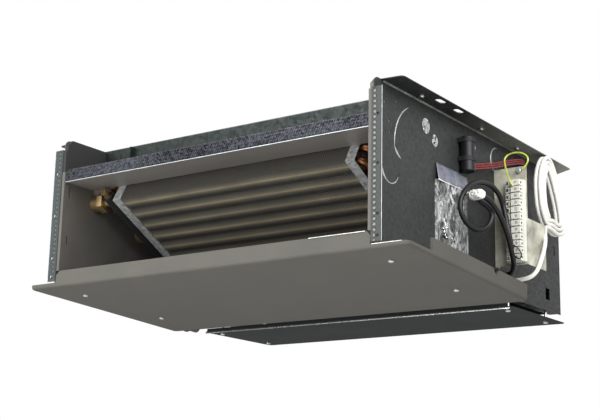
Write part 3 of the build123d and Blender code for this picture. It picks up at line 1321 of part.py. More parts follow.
PARTS = {
    "side_panel_right": wired_side_panel(),
    "side_panel_left": piped_side_panel(),
    "top_panel": top_panel(),
    "top_panel_screws": top_panel_screws(),
    "top_front_channel": top_front_channel(),
    "air_deflector": air_deflector(),
    "deflector_foam": deflector_foam(),
    "flange_gaskets": solids_of([flange_gasket(), mirror(flange_gasket(), about=Plane.YZ)]),
    "insulation_right": side_lining(),
    "insulation_left": piped_lining(),
    "insulation_top": top_lining(),
    "drip_tray": drip_tray(),
    "tray_screws": tray_screws(),
    "drain_spigot": drain_spigot(),
    "bottom_panel": bottom_panel(),
    "bottom_panel_screws": bottom_panel_screws(),
    "bottom_panel_nuts": bottom_panel_nuts(),
    "coil_fins": coil_fins(),
    "coil_tubes": coil_tubes(),
    "coil_return_bends": solids_of([return_bends(1), return_bends(-1)]),
    "coil_end_plate_right": coil_end_plate(1),
    "coil_end_plate_left": coil_end_plate(-1),
    "supply_header": header(0),
    "return_header": header(1),
    "supply_union": water_union(0, 0),
    "return_union": water_union(RETURN_UNION_ROW, 1),
    "air_vent_body": air_vent_body(),
    "air_vent_screw": air_vent_screw(),
    "coil_rest": coil_rest(),
    "fan_deck": fan_deck(),
    "fan_scroll_right": solids_of(fan_scroll(FAN_CENTRE_X)),
    "fan_scroll_left": solids_of(fan_scroll(-FAN_CENTRE_X)),
    "impeller_plates": solids_of(impeller_plates()),
    "impeller_blades": solids_of(impeller_blades()),
    "impeller_rings": solids_of(impeller_rings()),
    "motor_shaft": motor_shaft(),
    "motor_housing": motor_housing(),
    "motor_end_cap_right": motor_end_cap(1),
    "motor_end_cap_left": motor_end_cap(-1),
    "motor_bearings": solids_of([motor_bearing(1), motor_bearing(-1)]),
    "motor_rubber_rings": solids_of([motor_rubber_ring(1), motor_rubber_ring(-1)]),
    "motor_cradle": motor_cradle(),
    "filter_frame": filter_frame(),
    "filter_mesh": filter_mesh(),
    "filter_guides": solids_of([filter_guide(), mirror(filter_guide(), about=Plane.YZ)]),
    "terminal_bracket": terminal_bracket(),
    "terminal_block": terminal_block(),
    "terminal_screws": terminal_screws(),
    "motor_capacitor": motor_capacitor(),
    "capacitor_strap": capacitor_strap(),
    "strap_screws": strap_screws(),
    "cable_grommets": cable_grommets(),
    "black_cable": cord(black_cable_route(), BLACK_CABLE, "black cable"),
    "cable_tie": cable_tie(),
    "earth_screw": earth_screw(),
    "white_cable_tail": cord(WHITE_TAIL_ROUTE, WHITE_CABLE, "white tail"),
    "white_cable_hank": white_cable_hank(),
    "red_wires": red_wires(),
    "earth_wire": cord(EARTH_WIRE_ROUTE, WIRE, "earth wire"),
    "accessory_bag": accessory_bag(),
}

os.makedirs("parts", exist_ok=True)
for node, shape in PARTS.items():
    export_step(Pos(*(-ORIGIN)) * shape, f"parts/{node}.step")
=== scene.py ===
import json
import math
import random

import bmesh
import bpy
from mathutils import Matrix, Vector, noise

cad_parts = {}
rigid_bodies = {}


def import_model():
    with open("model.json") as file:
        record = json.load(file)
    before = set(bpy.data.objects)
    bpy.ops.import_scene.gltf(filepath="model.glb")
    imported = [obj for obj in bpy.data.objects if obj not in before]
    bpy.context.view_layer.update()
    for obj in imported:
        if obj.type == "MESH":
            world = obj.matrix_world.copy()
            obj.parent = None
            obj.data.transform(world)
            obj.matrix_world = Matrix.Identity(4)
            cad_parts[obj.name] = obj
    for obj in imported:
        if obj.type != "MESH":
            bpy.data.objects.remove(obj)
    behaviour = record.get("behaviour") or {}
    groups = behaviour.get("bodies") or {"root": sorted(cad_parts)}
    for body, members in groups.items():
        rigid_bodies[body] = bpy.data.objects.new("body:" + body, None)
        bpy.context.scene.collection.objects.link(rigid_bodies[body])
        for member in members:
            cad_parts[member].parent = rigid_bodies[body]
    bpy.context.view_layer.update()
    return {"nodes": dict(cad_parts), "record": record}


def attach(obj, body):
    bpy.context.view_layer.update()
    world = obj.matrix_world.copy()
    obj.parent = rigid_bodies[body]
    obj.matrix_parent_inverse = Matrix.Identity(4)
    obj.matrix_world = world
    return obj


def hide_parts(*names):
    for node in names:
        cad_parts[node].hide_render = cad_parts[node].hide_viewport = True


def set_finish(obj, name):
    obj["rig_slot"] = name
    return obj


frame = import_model()
scene = bpy.context.scene

# Chassis millimetres to metres in the row frame.
ORIGIN = Vector((0.0, 308.5, 224.0))


def place(x, y, z):
    """A point of the chassis, in millimetres, in the row frame, in metres."""
    return (Vector((x, y, z)) - ORIGIN) / 1000


# Camera, solved from the photograph's straight edges.
CAMERA_PLACE = (1037.5, -1234.0, -299.3)
CAMERA_YAW = math.radians(-35.46)
CAMERA_PITCH = math.radians(13.58)
CAMERA_ROLL = math.radians(1.18)
LENS = 76.3
SENSOR_WIDTH = 36.0


def make_camera():
    """The photograph's viewpoint."""
    data = bpy.data.cameras.new("camera")
    data.sensor_width = SENSOR_WIDTH
    data.lens = LENS
    data.clip_start = 0.05
    data.clip_end = 50.0
    camera = bpy.data.objects.new("camera", data)
    scene.collection.objects.link(camera)
    ahead = Vector((math.sin(CAMERA_YAW) * math.cos(CAMERA_PITCH),
                    math.cos(CAMERA_YAW) * math.cos(CAMERA_PITCH), math.sin(CAMERA_PITCH)))
    level = Vector((math.cos(CAMERA_YAW), -math.sin(CAMERA_YAW), 0.0))
    above = level.cross(ahead)
    right = level * math.cos(CAMERA_ROLL) + above * math.sin(CAMERA_ROLL)
    upward = above * math.cos(CAMERA_ROLL) - level * math.sin(CAMERA_ROLL)
    turn = Matrix((right, upward, -ahead)).transposed().to_4x4()
    camera.matrix_world = Matrix.Translation(place(*CAMERA_PLACE)) @ turn
    scene.camera = camera


make_camera()

# Cords: each one's control points are its route's points, in chassis millimetres
BLACK_CABLE = 7.0
WHITE_CABLE = 6.0
WIRE = 2.4
THIN_WIRE = 1.6
RED_WIRES = 3
CORD_BEVEL = 5
CORD_STEPS = 8
BLACK_ROUTE = [
    (298.0, 298.0, 58.0), (294.0, 299.0, 79.0), (290.0, 298.5, 101.0), (287.0, 296.0, 122.0),
    (286.0, 284.0, 135.0), (286.0, 262.0, 141.5), (285.0, 226.0, 138.0), (282.5, 197.0, 122.0),
    (279.3, 183.5, 98.0), (282.4, 192.1, 75.8), (290.0, 213.0, 66.6), (297.6, 233.9, 75.8),
    (300.7, 241.0, 98.0), (292.0, 221.0, 108.0), (292.5, 196.0, 111.5), (303.0, 196.0, 111.5),
    (306.0, 220.0, 108.5), (309.0, 245.0, 91.0), (307.0, 270.0, 69.0), (303.0, 289.0, 48.0),
    (297.0, 307.0, 34.0), (284.0, 323.0, 27.5), (264.0, 324.0, 27.0),
]
RED_ROUTE = [
    (272.0, 233.5, 161.0), (277.0, 287.0, 174.0), (275.0, 336.0, 191.0), (277.0, 378.0, 203.0),
    (273.0, 399.0, 204.5), (264.0, 402.0, 204.0),
]
RED_PITCH = 3.0
EARTH_ROUTE = [
    (299.0, 304.0, 146.5), (296.0, 299.0, 152.0), (291.0, 303.0, 165.0), (285.0, 309.0, 178.0),
    (280.5, 315.0, 190.0), (285.0, 318.0, 197.0), (296.0, 318.0, 198.5), (308.0, 318.0, 196.0),
    (316.5, 318.0, 188.0), (313.0, 318.4, 178.0), (305.4, 319.2, 173.0),
]
THIN_ROUTE = [
    (294.5, 300.5, 72.0), (297.5, 299.5, 65.0), (305.5, 300.0, 59.5), (311.5, 301.0, 50.5),
    (309.0, 301.5, 43.5), (301.5, 303.0, 46.0), (297.5, 305.5, 52.0),
]
# White cable: from its grommet up to the hank, then round the hank's turns
WHITE_ROUTE = [
    (264.0, 344.0, 24.0), (294.0, 341.0, 22.5), (312.0, 342.0, 29.0), (317.5, 350.5, 51.0),
    (316.5, 366.5, 77.0), (306.0, 388.0, 98.0), (299.0, 406.0, 110.0),
]
HANK_X = 293.0
HANK_LAYER = 6.6
HANK_NEST = 7.1
HANK_LOOP = [
    (433.0, 112.0), (449.0, 108.0), (463.0, 109.0), (475.0, 115.0), (480.0, 126.0), (476.0, 148.0),
    (469.0, 165.0), (459.0, 183.0), (448.0, 201.0), (436.0, 214.0), (424.0, 217.5), (413.0, 211.0),
    (402.0, 195.0), (397.0, 177.0), (397.0, 158.0), (400.0, 140.0), (408.0, 125.0), (419.0, 115.0),
]
# Each turn of the hank: how far in it nests and which layer it lies in
HANK_TURNS = ((0, 0.5), (1, 0.5), (2, 0.5), (2, -0.5), (1, -0.5), (0, -0.5))


def hank_points():
    """The folded turns of the white cable, nested in threes and laid in two layers."""
    points = []
    count = len(HANK_LOOP)
    for nest, layer in HANK_TURNS:
        for index, (y, z) in enumerate(HANK_LOOP):
            before = Vector(HANK_LOOP[index - 1])
            after = Vector(HANK_LOOP[(index + 1) % count])
            ahead = (after - before).normalized()
            inward = nest * HANK_NEST
            points.append((HANK_X + layer * HANK_LAYER, y - ahead.y * inward, z + ahead.x * inward))
    return points


def make_cord(name, points, diameter, body="case"):
    """A round cord on a smooth line with these control points."""
    curve = bpy.data.curves.new(name, "CURVE")
    curve.dimensions = "3D"
    curve.bevel_depth = 1.0
    curve.bevel_resolution = CORD_BEVEL
    curve.resolution_u = CORD_STEPS
    curve.use_fill_caps = True
    spline = curve.splines.new("NURBS")
    spline.points.add(len(points) - 1)
    for spot, point in zip(spline.points, points):
        spot.co = (*place(*point), 1.0)
        spot.radius = diameter / 2000
    spline.order_u = 3
    spline.use_endpoint_u = True
    piece = bpy.data.objects.new(name, curve)
    scene.collection.objects.link(piece)
    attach(piece, body)
    return piece


def line_length(piece):
    """Length of a cord's own line, in metres."""
    probe = piece.data.copy()
    probe.bevel_depth = 0.0
    holder = bpy.data.objects.new("probe", probe)
    mesh = bpy.data.meshes.new_from_object(holder)
    total = sum((mesh.vertices[e.vertices[0]].co - mesh.vertices[e.vertices[1]].co).length
                for e in mesh.edges)
    bpy.data.meshes.remove(mesh)
    bpy.data.objects.remove(holder)
    bpy.data.curves.remove(probe)
    return total


def wire(name, points, diameter, nodes, slot):
    """A cord that leaves the object at its first point."""
    piece = make_cord(name, points, diameter)
    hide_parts(*nodes)
    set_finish(piece, slot)
    place(*points[0])
    line_length(piece)


wire("black_cable_dressed", BLACK_ROUTE, BLACK_CABLE, ["black_cable"], "black_sheath")
wire("white_cable_dressed", WHITE_ROUTE + hank_points(), WHITE_CABLE,
     ["white_cable_tail", "white_cable_hank"], "white_sheath")
wire("earth_wire_dressed", EARTH_ROUTE, WIRE, ["earth_wire"], "earth_sheath")
for step in range(RED_WIRES):
    rise = (step - (RED_WIRES - 1) / 2) * RED_PITCH
    wire(f"red_wire_{step + 1}", [(x, y, z + rise) for x, y, z in RED_ROUTE], WIRE,
         ["red_wires"], "red_sheath")
wire("thin_conductor", THIN_ROUTE, THIN_WIRE, ["black_cable"], "black_sheath")

# Materials
MIX_PLAIN = 6
MIX_OTHER = 7
MIX_RESULT = 2


def shader(name):
    """A new material and its main shader."""
    material = bpy.data.materials.new(name)
    material.use_nodes = True
    tree = material.node_tree
    return material, tree, tree.nodes["Principled BSDF"]


def spot_texture(tree, kind, scale, detail=3.0, stretch=None):
    """A noise or cell texture in the object's own metres."""
    coords = tree.nodes.new("ShaderNodeTexCoord")
    source = coords.outputs["Object"]
    if stretch:
        mapping = tree.nodes.new("ShaderNodeMapping")
        mapping.inputs["Scale"].default_value = stretch
        tree.links.new(source, mapping.inputs["Vector"])
        source = mapping.outputs["Vector"]
    if kind == "cells":
        texture = tree.nodes.new("ShaderNodeTexVoronoi")
    else:
        texture = tree.nodes.new("ShaderNodeTexNoise")
        texture.inputs["Detail"].default_value = detail
    texture.inputs["Scale"].default_value = scale
    tree.links.new(source, texture.inputs["Vector"])
    return texture


def tint(tree, factor, colours):
    """A colour ramp over a factor."""
    ramp = tree.nodes.new("ShaderNodeValToRGB")
    ramp.color_ramp.elements.remove(ramp.color_ramp.elements[0])
    ramp.color_ramp.elements[0].position = colours[0][0]
    ramp.color_ramp.elements[0].color = (*colours[0][1], 1.0)
    for position, colour in colours[1:]:
        element = ramp.color_ramp.elements.new(position)
        element.color = (*colour, 1.0)
    tree.links.new(factor, ramp.inputs["Fac"])
    return ramp.outputs["Color"]


def step_node(tree, operation, *values):
    """One arithmetic node; its inputs are numbers or other nodes' outputs."""
    node = tree.nodes.new("ShaderNodeMath")
    node.operation = operation
    for slot, value in zip(node.inputs, values):
        if isinstance(value, float):
            slot.default_value = value
        else:
            tree.links.new(value, slot)
    return node.outputs["Value"]


def axes(tree):
    """The object's own X, Y and Z in metres."""
    coords = tree.nodes.new("ShaderNodeTexCoord")
    split = tree.nodes.new("ShaderNodeSeparateXYZ")
    tree.links.new(coords.outputs["Object"], split.inputs["Vector"])
    return split.outputs["X"], split.outputs["Y"], split.outputs["Z"]


def ranged(tree, value, low, high, start=0.0, end=1.0):
    """A value taken from the span start to end into the span low to high."""
    node = tree.nodes.new("ShaderNodeMapRange")
    node.inputs["From Min"].default_value = start
    node.inputs["From Max"].default_value = end
    node.inputs["To Min"].default_value = low
    node.inputs["To Max"].default_value = high
    tree.links.new(value, node.inputs["Value"])
    return node.outputs["Result"]


def blend(tree, share, plain, colour):
    """A plain tone that gives way to a colour by a share."""
    mixed = tree.nodes.new("ShaderNodeMix")
    mixed.data_type = "RGBA"
    tree.links.new(share, mixed.inputs["Factor"])
    tree.links.new(plain, mixed.inputs[MIX_PLAIN])
    mixed.inputs[MIX_OTHER].default_value = (*colour, 1.0)
    return mixed.outputs[MIX_RESULT]


def scaled(colour, factor):
    """A colour made darker or paler."""
    return tuple(min(1.0, c * factor) for c in colour)


def add_bump(tree, bsdf, height, distance, strength=1.0):
    """A bump in metres."""
    bump = tree.nodes.new("ShaderNodeBump")
    bump.inputs["Distance"].default_value = distance
    bump.inputs["Strength"].default_value = strength
    tree.links.new(height, bump.inputs["Height"])
    tree.links.new(bump.outputs["Normal"], bsdf.inputs["Normal"])


def worn(name, colour, roughness, metallic=0.0, contrast=0.12, patch=9.0, grain=900.0,
         grain_depth=0.00006, specular=0.5):
    """A plain finish with soft patches of tone and a fine grain."""
    material, tree, bsdf = shader(name)
    patches = spot_texture(tree, "noise", patch, 4.0)
    low = scaled(colour, 1.0 - contrast)
    high = scaled(colour, 1.0 + contrast)
    tone = tint(tree, patches.outputs["Fac"], [(0.3, low), (0.7, high)])
    tree.links.new(tone, bsdf.inputs["Base Color"])
    bsdf.inputs["Metallic"].default_value = metallic
    bsdf.inputs["Specular IOR Level"].default_value = specular
    fine = spot_texture(tree, "noise", grain, 2.0)
    polish = ranged(tree, patches.outputs["Fac"], max(roughness - 0.08, 0.02),
                    min(roughness + 0.08, 1.0))
    tree.links.new(polish, bsdf.inputs["Roughness"])
    add_bump(tree, bsdf, fine.outputs["Fac"], grain_depth)
    return material


def galvanised(name, colour, contrast=0.22, spangle=95.0, roughness=0.42, metallic=0.5):
    """Zinc-coated sheet: crystals of differing tone, cloudy patches, fine grain."""
    material, tree, bsdf = shader(name)
    cells = spot_texture(tree, "cells", spangle)
    grey = tree.nodes.new("ShaderNodeSeparateColor")
    tree.links.new(cells.outputs["Color"], grey.inputs["Color"])
    clouds = spot_texture(tree, "noise", 7.0, 5.0)
    mixed = tree.nodes.new("ShaderNodeMix")
    mixed.inputs["Factor"].default_value = 0.55
    tree.links.new(grey.outputs["Red"], mixed.inputs["A"])
    tree.links.new(clouds.outputs["Fac"], mixed.inputs["B"])
    low = scaled(colour, 1.0 - contrast)
    high = scaled(colour, 1.0 + contrast)
    tone = tint(tree, mixed.outputs["Result"], [(0.25, low), (0.5, colour), (0.78, high)])
    tree.links.new(tone, bsdf.inputs["Base Color"])
    polish = ranged(tree, grey.outputs["Green"], roughness - 0.1, roughness + 0.12)
    tree.links.new(polish, bsdf.inputs["Roughness"])
    bsdf.inputs["Metallic"].default_value = metallic
    bsdf.inputs["Specular IOR Level"].default_value = 0.12
    fine = spot_texture(tree, "noise", 1200.0, 2.0)
    add_bump(tree, bsdf, fine.outputs["Fac"], 0.00003)
    return material


# Coil: its lean, the row frame's place of its first row, in metres, and the rows' spacing
COIL_TILT = math.radians(28.25)
COIL_TOP_Y = -0.2585
COIL_TOP_Z = -0.088
ROW_PITCH = 0.025
# Where in each row the painted crest highlight falls, as a share of the row
CREST_HIGHLIGHT = 0.42


def fin_material():
    """Dull brassy aluminium fins: a painted highlight along each row's crest, painted shade in the
    valleys, and fine upright lines.
    """
    material, tree, bsdf = shader("fins")
    _, y, z = axes(tree)
    along = step_node(tree, "ADD", y, -COIL_TOP_Y)
    below = step_node(tree, "ADD", z, -COIL_TOP_Z)
    down = step_node(tree, "SUBTRACT",
                     step_node(tree, "MULTIPLY", along, math.cos(COIL_TILT)),
                     step_node(tree, "MULTIPLY", below, math.sin(COIL_TILT)))
    row = step_node(tree, "FRACT", step_node(tree, "DIVIDE", down, ROW_PITCH))
    off = step_node(tree, "ABSOLUTE", step_node(tree, "SUBTRACT", row, CREST_HIGHLIGHT))
    patches = spot_texture(tree, "noise", 30.0, 4.0, (0.5, 1.0, 1.0))
    share = step_node(tree, "ADD", off, step_node(tree, "MULTIPLY", patches.outputs["Fac"], 0.16))
    # Painted highlight on the crests, fading to painted shade in the valleys, with patches of tone
    tone = tint(tree, share, [(0.07, (0.34, 0.29, 0.185)), (0.14, (0.20, 0.178, 0.13)),
                              (0.26, (0.115, 0.106, 0.087)), (0.44, (0.058, 0.055, 0.048))])
    tree.links.new(tone, bsdf.inputs["Base Color"])
    bsdf.inputs["Metallic"].default_value = 0.5
    bsdf.inputs["Roughness"].default_value = 0.42
    bsdf.inputs["Specular IOR Level"].default_value = 0.3
    wave = tree.nodes.new("ShaderNodeTexWave")
    wave.inputs["Scale"].default_value = 90.0
    wave.inputs["Distortion"].default_value = 0.6
    coords = tree.nodes.new("ShaderNodeTexCoord")
    tree.links.new(coords.outputs["Object"], wave.inputs["Vector"])
    add_bump(tree, bsdf, wave.outputs["Fac"], 0.0004, 0.6)
    return material


def woven(name, colour):
    """Cloth of crossed threads."""
    material, tree, bsdf = shader(name)
    coords = tree.nodes.new("ShaderNodeTexCoord")
    lines = []
    for direction in ("X", "Z"):
        wave = tree.nodes.new("ShaderNodeTexWave")
        wave.bands_direction = direction
        wave.inputs["Scale"].default_value = 130.0
        tree.links.new(coords.outputs["Object"], wave.inputs["Vector"])
        lines.append(wave.outputs["Fac"])
    threads = step_node(tree, "MAXIMUM", *lines)
    tone = tint(tree, threads, [(0.2, scaled(colour, 0.4)), (0.8, scaled(colour, 1.4))])
    tree.links.new(tone, bsdf.inputs["Base Color"])
    bsdf.inputs["Roughness"].default_value = 0.9
    add_bump(tree, bsdf, threads, 0.0005)
    return material


def striped(name, one, two):
    """A sheath of two close tones in patches along it."""
    material, tree, bsdf = shader(name)
    patches = spot_texture(tree, "noise", 120.0, 2.0)
    tone = tint(tree, patches.outputs["Fac"], [(0.45, one), (0.55, two)])
    tree.links.new(tone, bsdf.inputs["Base Color"])
    bsdf.inputs["Roughness"].default_value = 0.38
    return material


def clear_film(name, colour, opacity):
    """Crumpled clear film: part see-through, part streaks of painted reflection, dark and bright.
    """
    material, tree, bsdf = shader(name)
    reflection_streaks = spot_texture(tree, "noise", 95.0, 6.0, (1.0, 1.0, 0.55))
    reflection_streaks.inputs["Distortion"].default_value = 1.2
    # Painted reflection: streaks from near black to the film's full colour
    tone = tint(tree, reflection_streaks.outputs["Fac"],
                [(0.38, scaled(colour, 0.10)), (0.48, scaled(colour, 0.35)),
                 (0.56, scaled(colour, 0.55)), (0.64, colour)])
    tree.links.new(tone, bsdf.inputs["Base Color"])
    bsdf.inputs["Roughness"].default_value = 0.16
    bsdf.inputs["Specular IOR Level"].default_value = 0.5
    fine = spot_texture(tree, "noise", 160.0, 4.0)
    add_bump(tree, bsdf, fine.outputs["Fac"], 0.0012, 0.8)
    clear = tree.nodes.new("ShaderNodeBsdfTransparent")
    share = ranged(tree, reflection_streaks.outputs["Fac"], opacity * 0.25, opacity, 0.42, 0.68)
    mix = tree.nodes.new("ShaderNodeMixShader")
    tree.links.new(share, mix.inputs["Fac"])
    tree.links.new(clear.outputs["BSDF"], mix.inputs[1])
    tree.links.new(bsdf.outputs["BSDF"], mix.inputs[2])
    tree.links.new(mix.outputs["Shader"], tree.nodes["Material Output"].inputs["Surface"])
    return material


# Embossed gaskets on the front flanges: one column of dots, in millimetres
DOT_X = 265.8
DOT_PITCH = 6.6
DOT_RADIUS = 2.3


def dotted_foil(name, base, glint_colour):
    """Dark foil with a column of embossed dots, as far apart as the shape's own: each dot painted
    with a bright highlight ring round a dark middle, and a ring of painted shade outside it.
    """
    material, tree, bsdf = shader(name)
    x, _, z = axes(tree)
    pitch = DOT_PITCH / 1000
    across = step_node(tree, "SUBTRACT", step_node(tree, "ABSOLUTE", x), DOT_X / 1000)
    height = step_node(tree, "ADD", z, ORIGIN.z / 1000)
    along = step_node(tree, "FRACT", step_node(tree, "DIVIDE", height, pitch))
    along = step_node(tree, "MULTIPLY", step_node(tree, "SUBTRACT", along, 0.5), pitch)
    square = step_node(tree, "ADD", step_node(tree, "MULTIPLY", across, across),
                       step_node(tree, "MULTIPLY", along, along))
    away = step_node(tree, "SQRT", square)
    rough = spot_texture(tree, "noise", 420.0, 4.0)
    share = step_node(tree, "ADD", step_node(tree, "DIVIDE", away, DOT_RADIUS / 500),
                      step_node(tree, "MULTIPLY", rough.outputs["Fac"], 0.55))
    # Painted highlight and shade on each dot, by its distance from the dot's middle
    tone = tint(tree, share,
                [(0.26, scaled(base, 0.4)), (0.40, glint_colour), (0.62, scaled(glint_colour, 0.6)),
                 (0.76, base), (0.90, scaled(base, 0.55)), (1.0, scaled(base, 1.3))])
    tree.links.new(tone, bsdf.inputs["Base Color"])
    bsdf.inputs["Roughness"].default_value = 0.5
    bsdf.inputs["Specular IOR Level"].default_value = 0.15
    fine = spot_texture(tree, "noise", 1200.0, 2.0)
    add_bump(tree, bsdf, fine.outputs["Fac"], 0.0001)
    return material


def lining(name, colour, upper, level):
    """Lining foam with painted shade above a level, in metres: near black there."""
    material, tree, bsdf = shader(name)
    _, _, z = axes(tree)
    patches = spot_texture(tree, "noise", 20.0, 4.0)
    tone = tint(tree, patches.outputs["Fac"],
                [(0.3, scaled(colour, 0.88)), (0.7, scaled(colour, 1.12))])
    # Painted shade: near black above the level
    tone = blend(tree, step_node(tree, "GREATER_THAN", z, level), tone, upper)
    tree.links.new(tone, bsdf.inputs["Base Color"])
    bsdf.inputs["Roughness"].default_value = 0.72
    bsdf.inputs["Specular IOR Level"].default_value = 0.3
    fine = spot_texture(tree, "noise", 500.0, 3.0)
    add_bump(tree, bsdf, fine.outputs["Fac"], 0.0003)
    return material


# The side panel's top flange: its underside, and where the painted light on it starts and ends as
# it turns pale towards the rear, in metres
FLANGE_LEVEL = -0.0035
FLANGE_LIGHT_START_Y = -0.12
FLANGE_LIGHT_FULL_Y = 0.17
FLANGE_PAINTED_LIGHT = (0.34, 0.34, 0.30)


def side_zinc_painted_light(name, colour):
    """Zinc sheet with painted light on the flange: paler towards the rear."""
    material = galvanised(name, colour, 0.18, 260.0, 0.42, 0.15)
    tree = material.node_tree
    bsdf = tree.nodes["Principled BSDF"]
    _, y, z = axes(tree)
    plain = bsdf.inputs["Base Color"].links[0].from_socket
    # Painted light: the flange's underside turns pale towards the rear
    painted_light_rearward = ranged(tree, y, 0.0, 0.8, FLANGE_LIGHT_START_Y, FLANGE_LIGHT_FULL_Y)
    on_flange = step_node(tree, "GREATER_THAN", z, FLANGE_LEVEL)
    share = step_node(tree, "MULTIPLY", painted_light_rearward, on_flange)
    tree.links.new(blend(tree, share, plain, FLANGE_PAINTED_LIGHT), bsdf.inputs["Base Color"])
    return material


MATERIALS = {
    "galvanised": galvanised("zinc_dark", (0.075, 0.078, 0.077), 0.20, 200.0, 0.40, 0.3),
    "dark_sheet": worn("dark_sheet", (0.012, 0.0135, 0.0145), 0.6, specular=0.08),
    "tray_plastic": worn("tray_plastic", (0.066, 0.0635, 0.0555), 0.66, 0.0, 0.08, 14.0, 800.0,
                         0.0006, 0.2),
    "deflector_paint": worn("deflector_paint", (0.160, 0.151, 0.138), 0.46, 0.2, 0.05,
                            specular=0.3),
    "foil_foam": galvanised("embossed_foam", (0.032, 0.034, 0.041), 0.85, 420.0, 0.4, 0.4),
    "lining_foam": worn("lining_foam", (0.080, 0.075, 0.067), 0.75, 0.0, 0.12, 20.0, 500.0, 0.0003),
    "fins": fin_material(),
    "copper": worn("copper", (0.40, 0.17, 0.08), 0.34, 1.0, 0.25, 30.0),
    "brass": worn("brass", (0.36, 0.26, 0.13), 0.45, 1.0, 0.25, 60.0),
    "plated_steel": worn("plated_steel", (0.52, 0.52, 0.51), 0.28, 1.0, 0.15, 300.0),
    "shaft_steel": worn("shaft_steel", (0.45, 0.46, 0.48), 0.25, 1.0, 0.06, 40.0),
    "fan_metal": worn("fan_metal", (0.30, 0.31, 0.32), 0.38, 1.0, 0.08, 40.0),
    "scroll_sheet": galvanised("zinc_light", (0.30, 0.32, 0.33), 0.15, 150.0),
    "motor_paint": worn("motor_paint", (0.025, 0.025, 0.027), 0.4),
    "motor_cap": worn("motor_cap", (0.32, 0.33, 0.34), 0.45, 1.0),
    "black_rubber": worn("black_rubber", (0.009, 0.009, 0.010), 0.6, specular=0.25),
    "filter_frame": worn("filter_frame_plastic", (0.025, 0.025, 0.027), 0.5),
    "filter_cloth": woven("filter_cloth", (0.06, 0.064, 0.068)),
    "terminal_plastic": worn("terminal_plastic", (0.60, 0.60, 0.54), 0.4, 0.0, 0.08, 40.0),
    "bracket_plastic": worn("bracket_plastic", (0.34, 0.335, 0.27), 0.35, 0.0, 0.6, 40.0),
    "capacitor_case": worn("capacitor_case", (0.006, 0.006, 0.008), 0.4, specular=0.25),
    "black_sheath": worn("black_sheath", (0.005, 0.005, 0.006), 0.40, 0.0, 0.2, 50.0, specular=0.3),
    "white_sheath": worn("white_sheath", (0.66, 0.65, 0.61), 0.42, 0.0, 0.06, 40.0),
    "tie_plastic": worn("tie_plastic", (0.66, 0.66, 0.63), 0.35, 0.0, 0.05, 80.0),
    "red_sheath": worn("red_sheath", (0.15, 0.012, 0.014), 0.4, 0.0, 0.6, 160.0),
    "earth_sheath": striped("earth_sheath", (0.36, 0.42, 0.03), (0.46, 0.50, 0.10)),
    "clear_bag": clear_film("clear_bag", (0.80, 0.83, 0.83), 0.55),
}
BAG_BAND = worn("bag_band", (0.105, 0.112, 0.14), 0.25, 0.0, 0.45, 60.0, specular=0.35)
BRIGHT_ZINC = galvanised("zinc_bright", (0.36, 0.37, 0.365), 0.35, 220.0, 0.42, 0.6)
CHANNEL_ZINC = galvanised("zinc_channel", (0.018, 0.0225, 0.0215), 0.35, 200.0, 0.42, 0.5)
# Paler zinc for the folds: a painted highlight along each bend
FOLD_ZINC_PAINTED_HIGHLIGHT = galvanised("zinc_fold_painted_highlight", (0.13, 0.135, 0.125), 0.3, 90.0, 0.4, 0.5)
HOLE_FOIL = galvanised("crumpled_foil", (0.36, 0.37, 0.36), 0.98, 240.0, 0.3, 0.5)
PALE_SCREW = worn("pale_screw", (0.66, 0.66, 0.63), 0.35, 0.5, 0.2, 300.0)
# Pale plastic for the painted highlights along the tray's rims
PAINTED_EDGE_HIGHLIGHT = worn("painted_edge_highlight", (0.52, 0.52, 0.49), 0.5, 0.0, 0.35, 400.0)
# A darker copy of the brass for the return union: painted shade
SHADED_BRASS = worn("brass_painted_shade", (0.20, 0.145, 0.075), 0.45, 0.8, 0.2, 60.0)
# The right gasket gets brighter painted highlights than the left: lit and shaded copies of one foil
GASKET_DOT_GLINTS = (dotted_foil("dotted_foil_left_dim_glints", (0.028, 0.034, 0.034), (0.085, 0.095, 0.095)),
               dotted_foil("dotted_foil_right_bright_glints", (0.030, 0.033, 0.032), (0.20, 0.21, 0.20)))
# Level above which the left lining is painted near black as shade, in metres
LINING_SHADE_LEVEL = -0.050
LEFT_LINING_PAINTED_SHADE = lining("lining_left_painted_shade", (0.080, 0.075, 0.067), (0.018, 0.018, 0.018), LINING_SHADE_LEVEL)
SIDE_ZINC_PAINTED_LIGHT = side_zinc_painted_light("zinc_side_painted_light", (0.027, 0.0285, 0.028))
OWN_FINISH = {
    "coil_end_plate_right": BRIGHT_ZINC, "coil_end_plate_left": BRIGHT_ZINC,
    "side_panel_right": SIDE_ZINC_PAINTED_LIGHT, "insulation_left": LEFT_LINING_PAINTED_SHADE,
    "top_front_channel": CHANNEL_ZINC, "earth_screw": BRIGHT_ZINC, "terminal_screws": PALE_SCREW,
    "return_union": SHADED_BRASS,
}
for part in frame["record"]["subparts"]:
    node = frame["nodes"][part["node"]]
    node.data.materials.clear()
    node.data.materials.append(OWN_FINISH.get(part["node"], MATERIALS[part["material_slot"]]))
for piece in scene.objects:
    if piece.type == "CURVE":
        piece.data.materials.append(MATERIALS[piece["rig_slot"]])

# Pieces of sheet, foam and film


def make_piece(name, points, faces, slot, replaced=(), smooth=False, material=None, body="case"):
    """A mesh piece from chassis points, in millimetres, with its slot and material."""
    mesh = bpy.data.meshes.new(name)
    mesh.from_pydata([place(*point) for point in points], [], faces)
    tidy = bmesh.new()
    tidy.from_mesh(mesh)
    bmesh.ops.recalc_face_normals(tidy, faces=tidy.faces)
    tidy.to_mesh(mesh)
    tidy.free()
    for polygon in mesh.polygons:
        polygon.use_smooth = smooth
    piece = bpy.data.objects.new(name, mesh)
    scene.collection.objects.link(piece)
    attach(piece, body)
    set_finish(piece, slot)
    if replaced:
        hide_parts(*replaced)
    mesh.materials.append(material or MATERIALS[slot])
    return piece


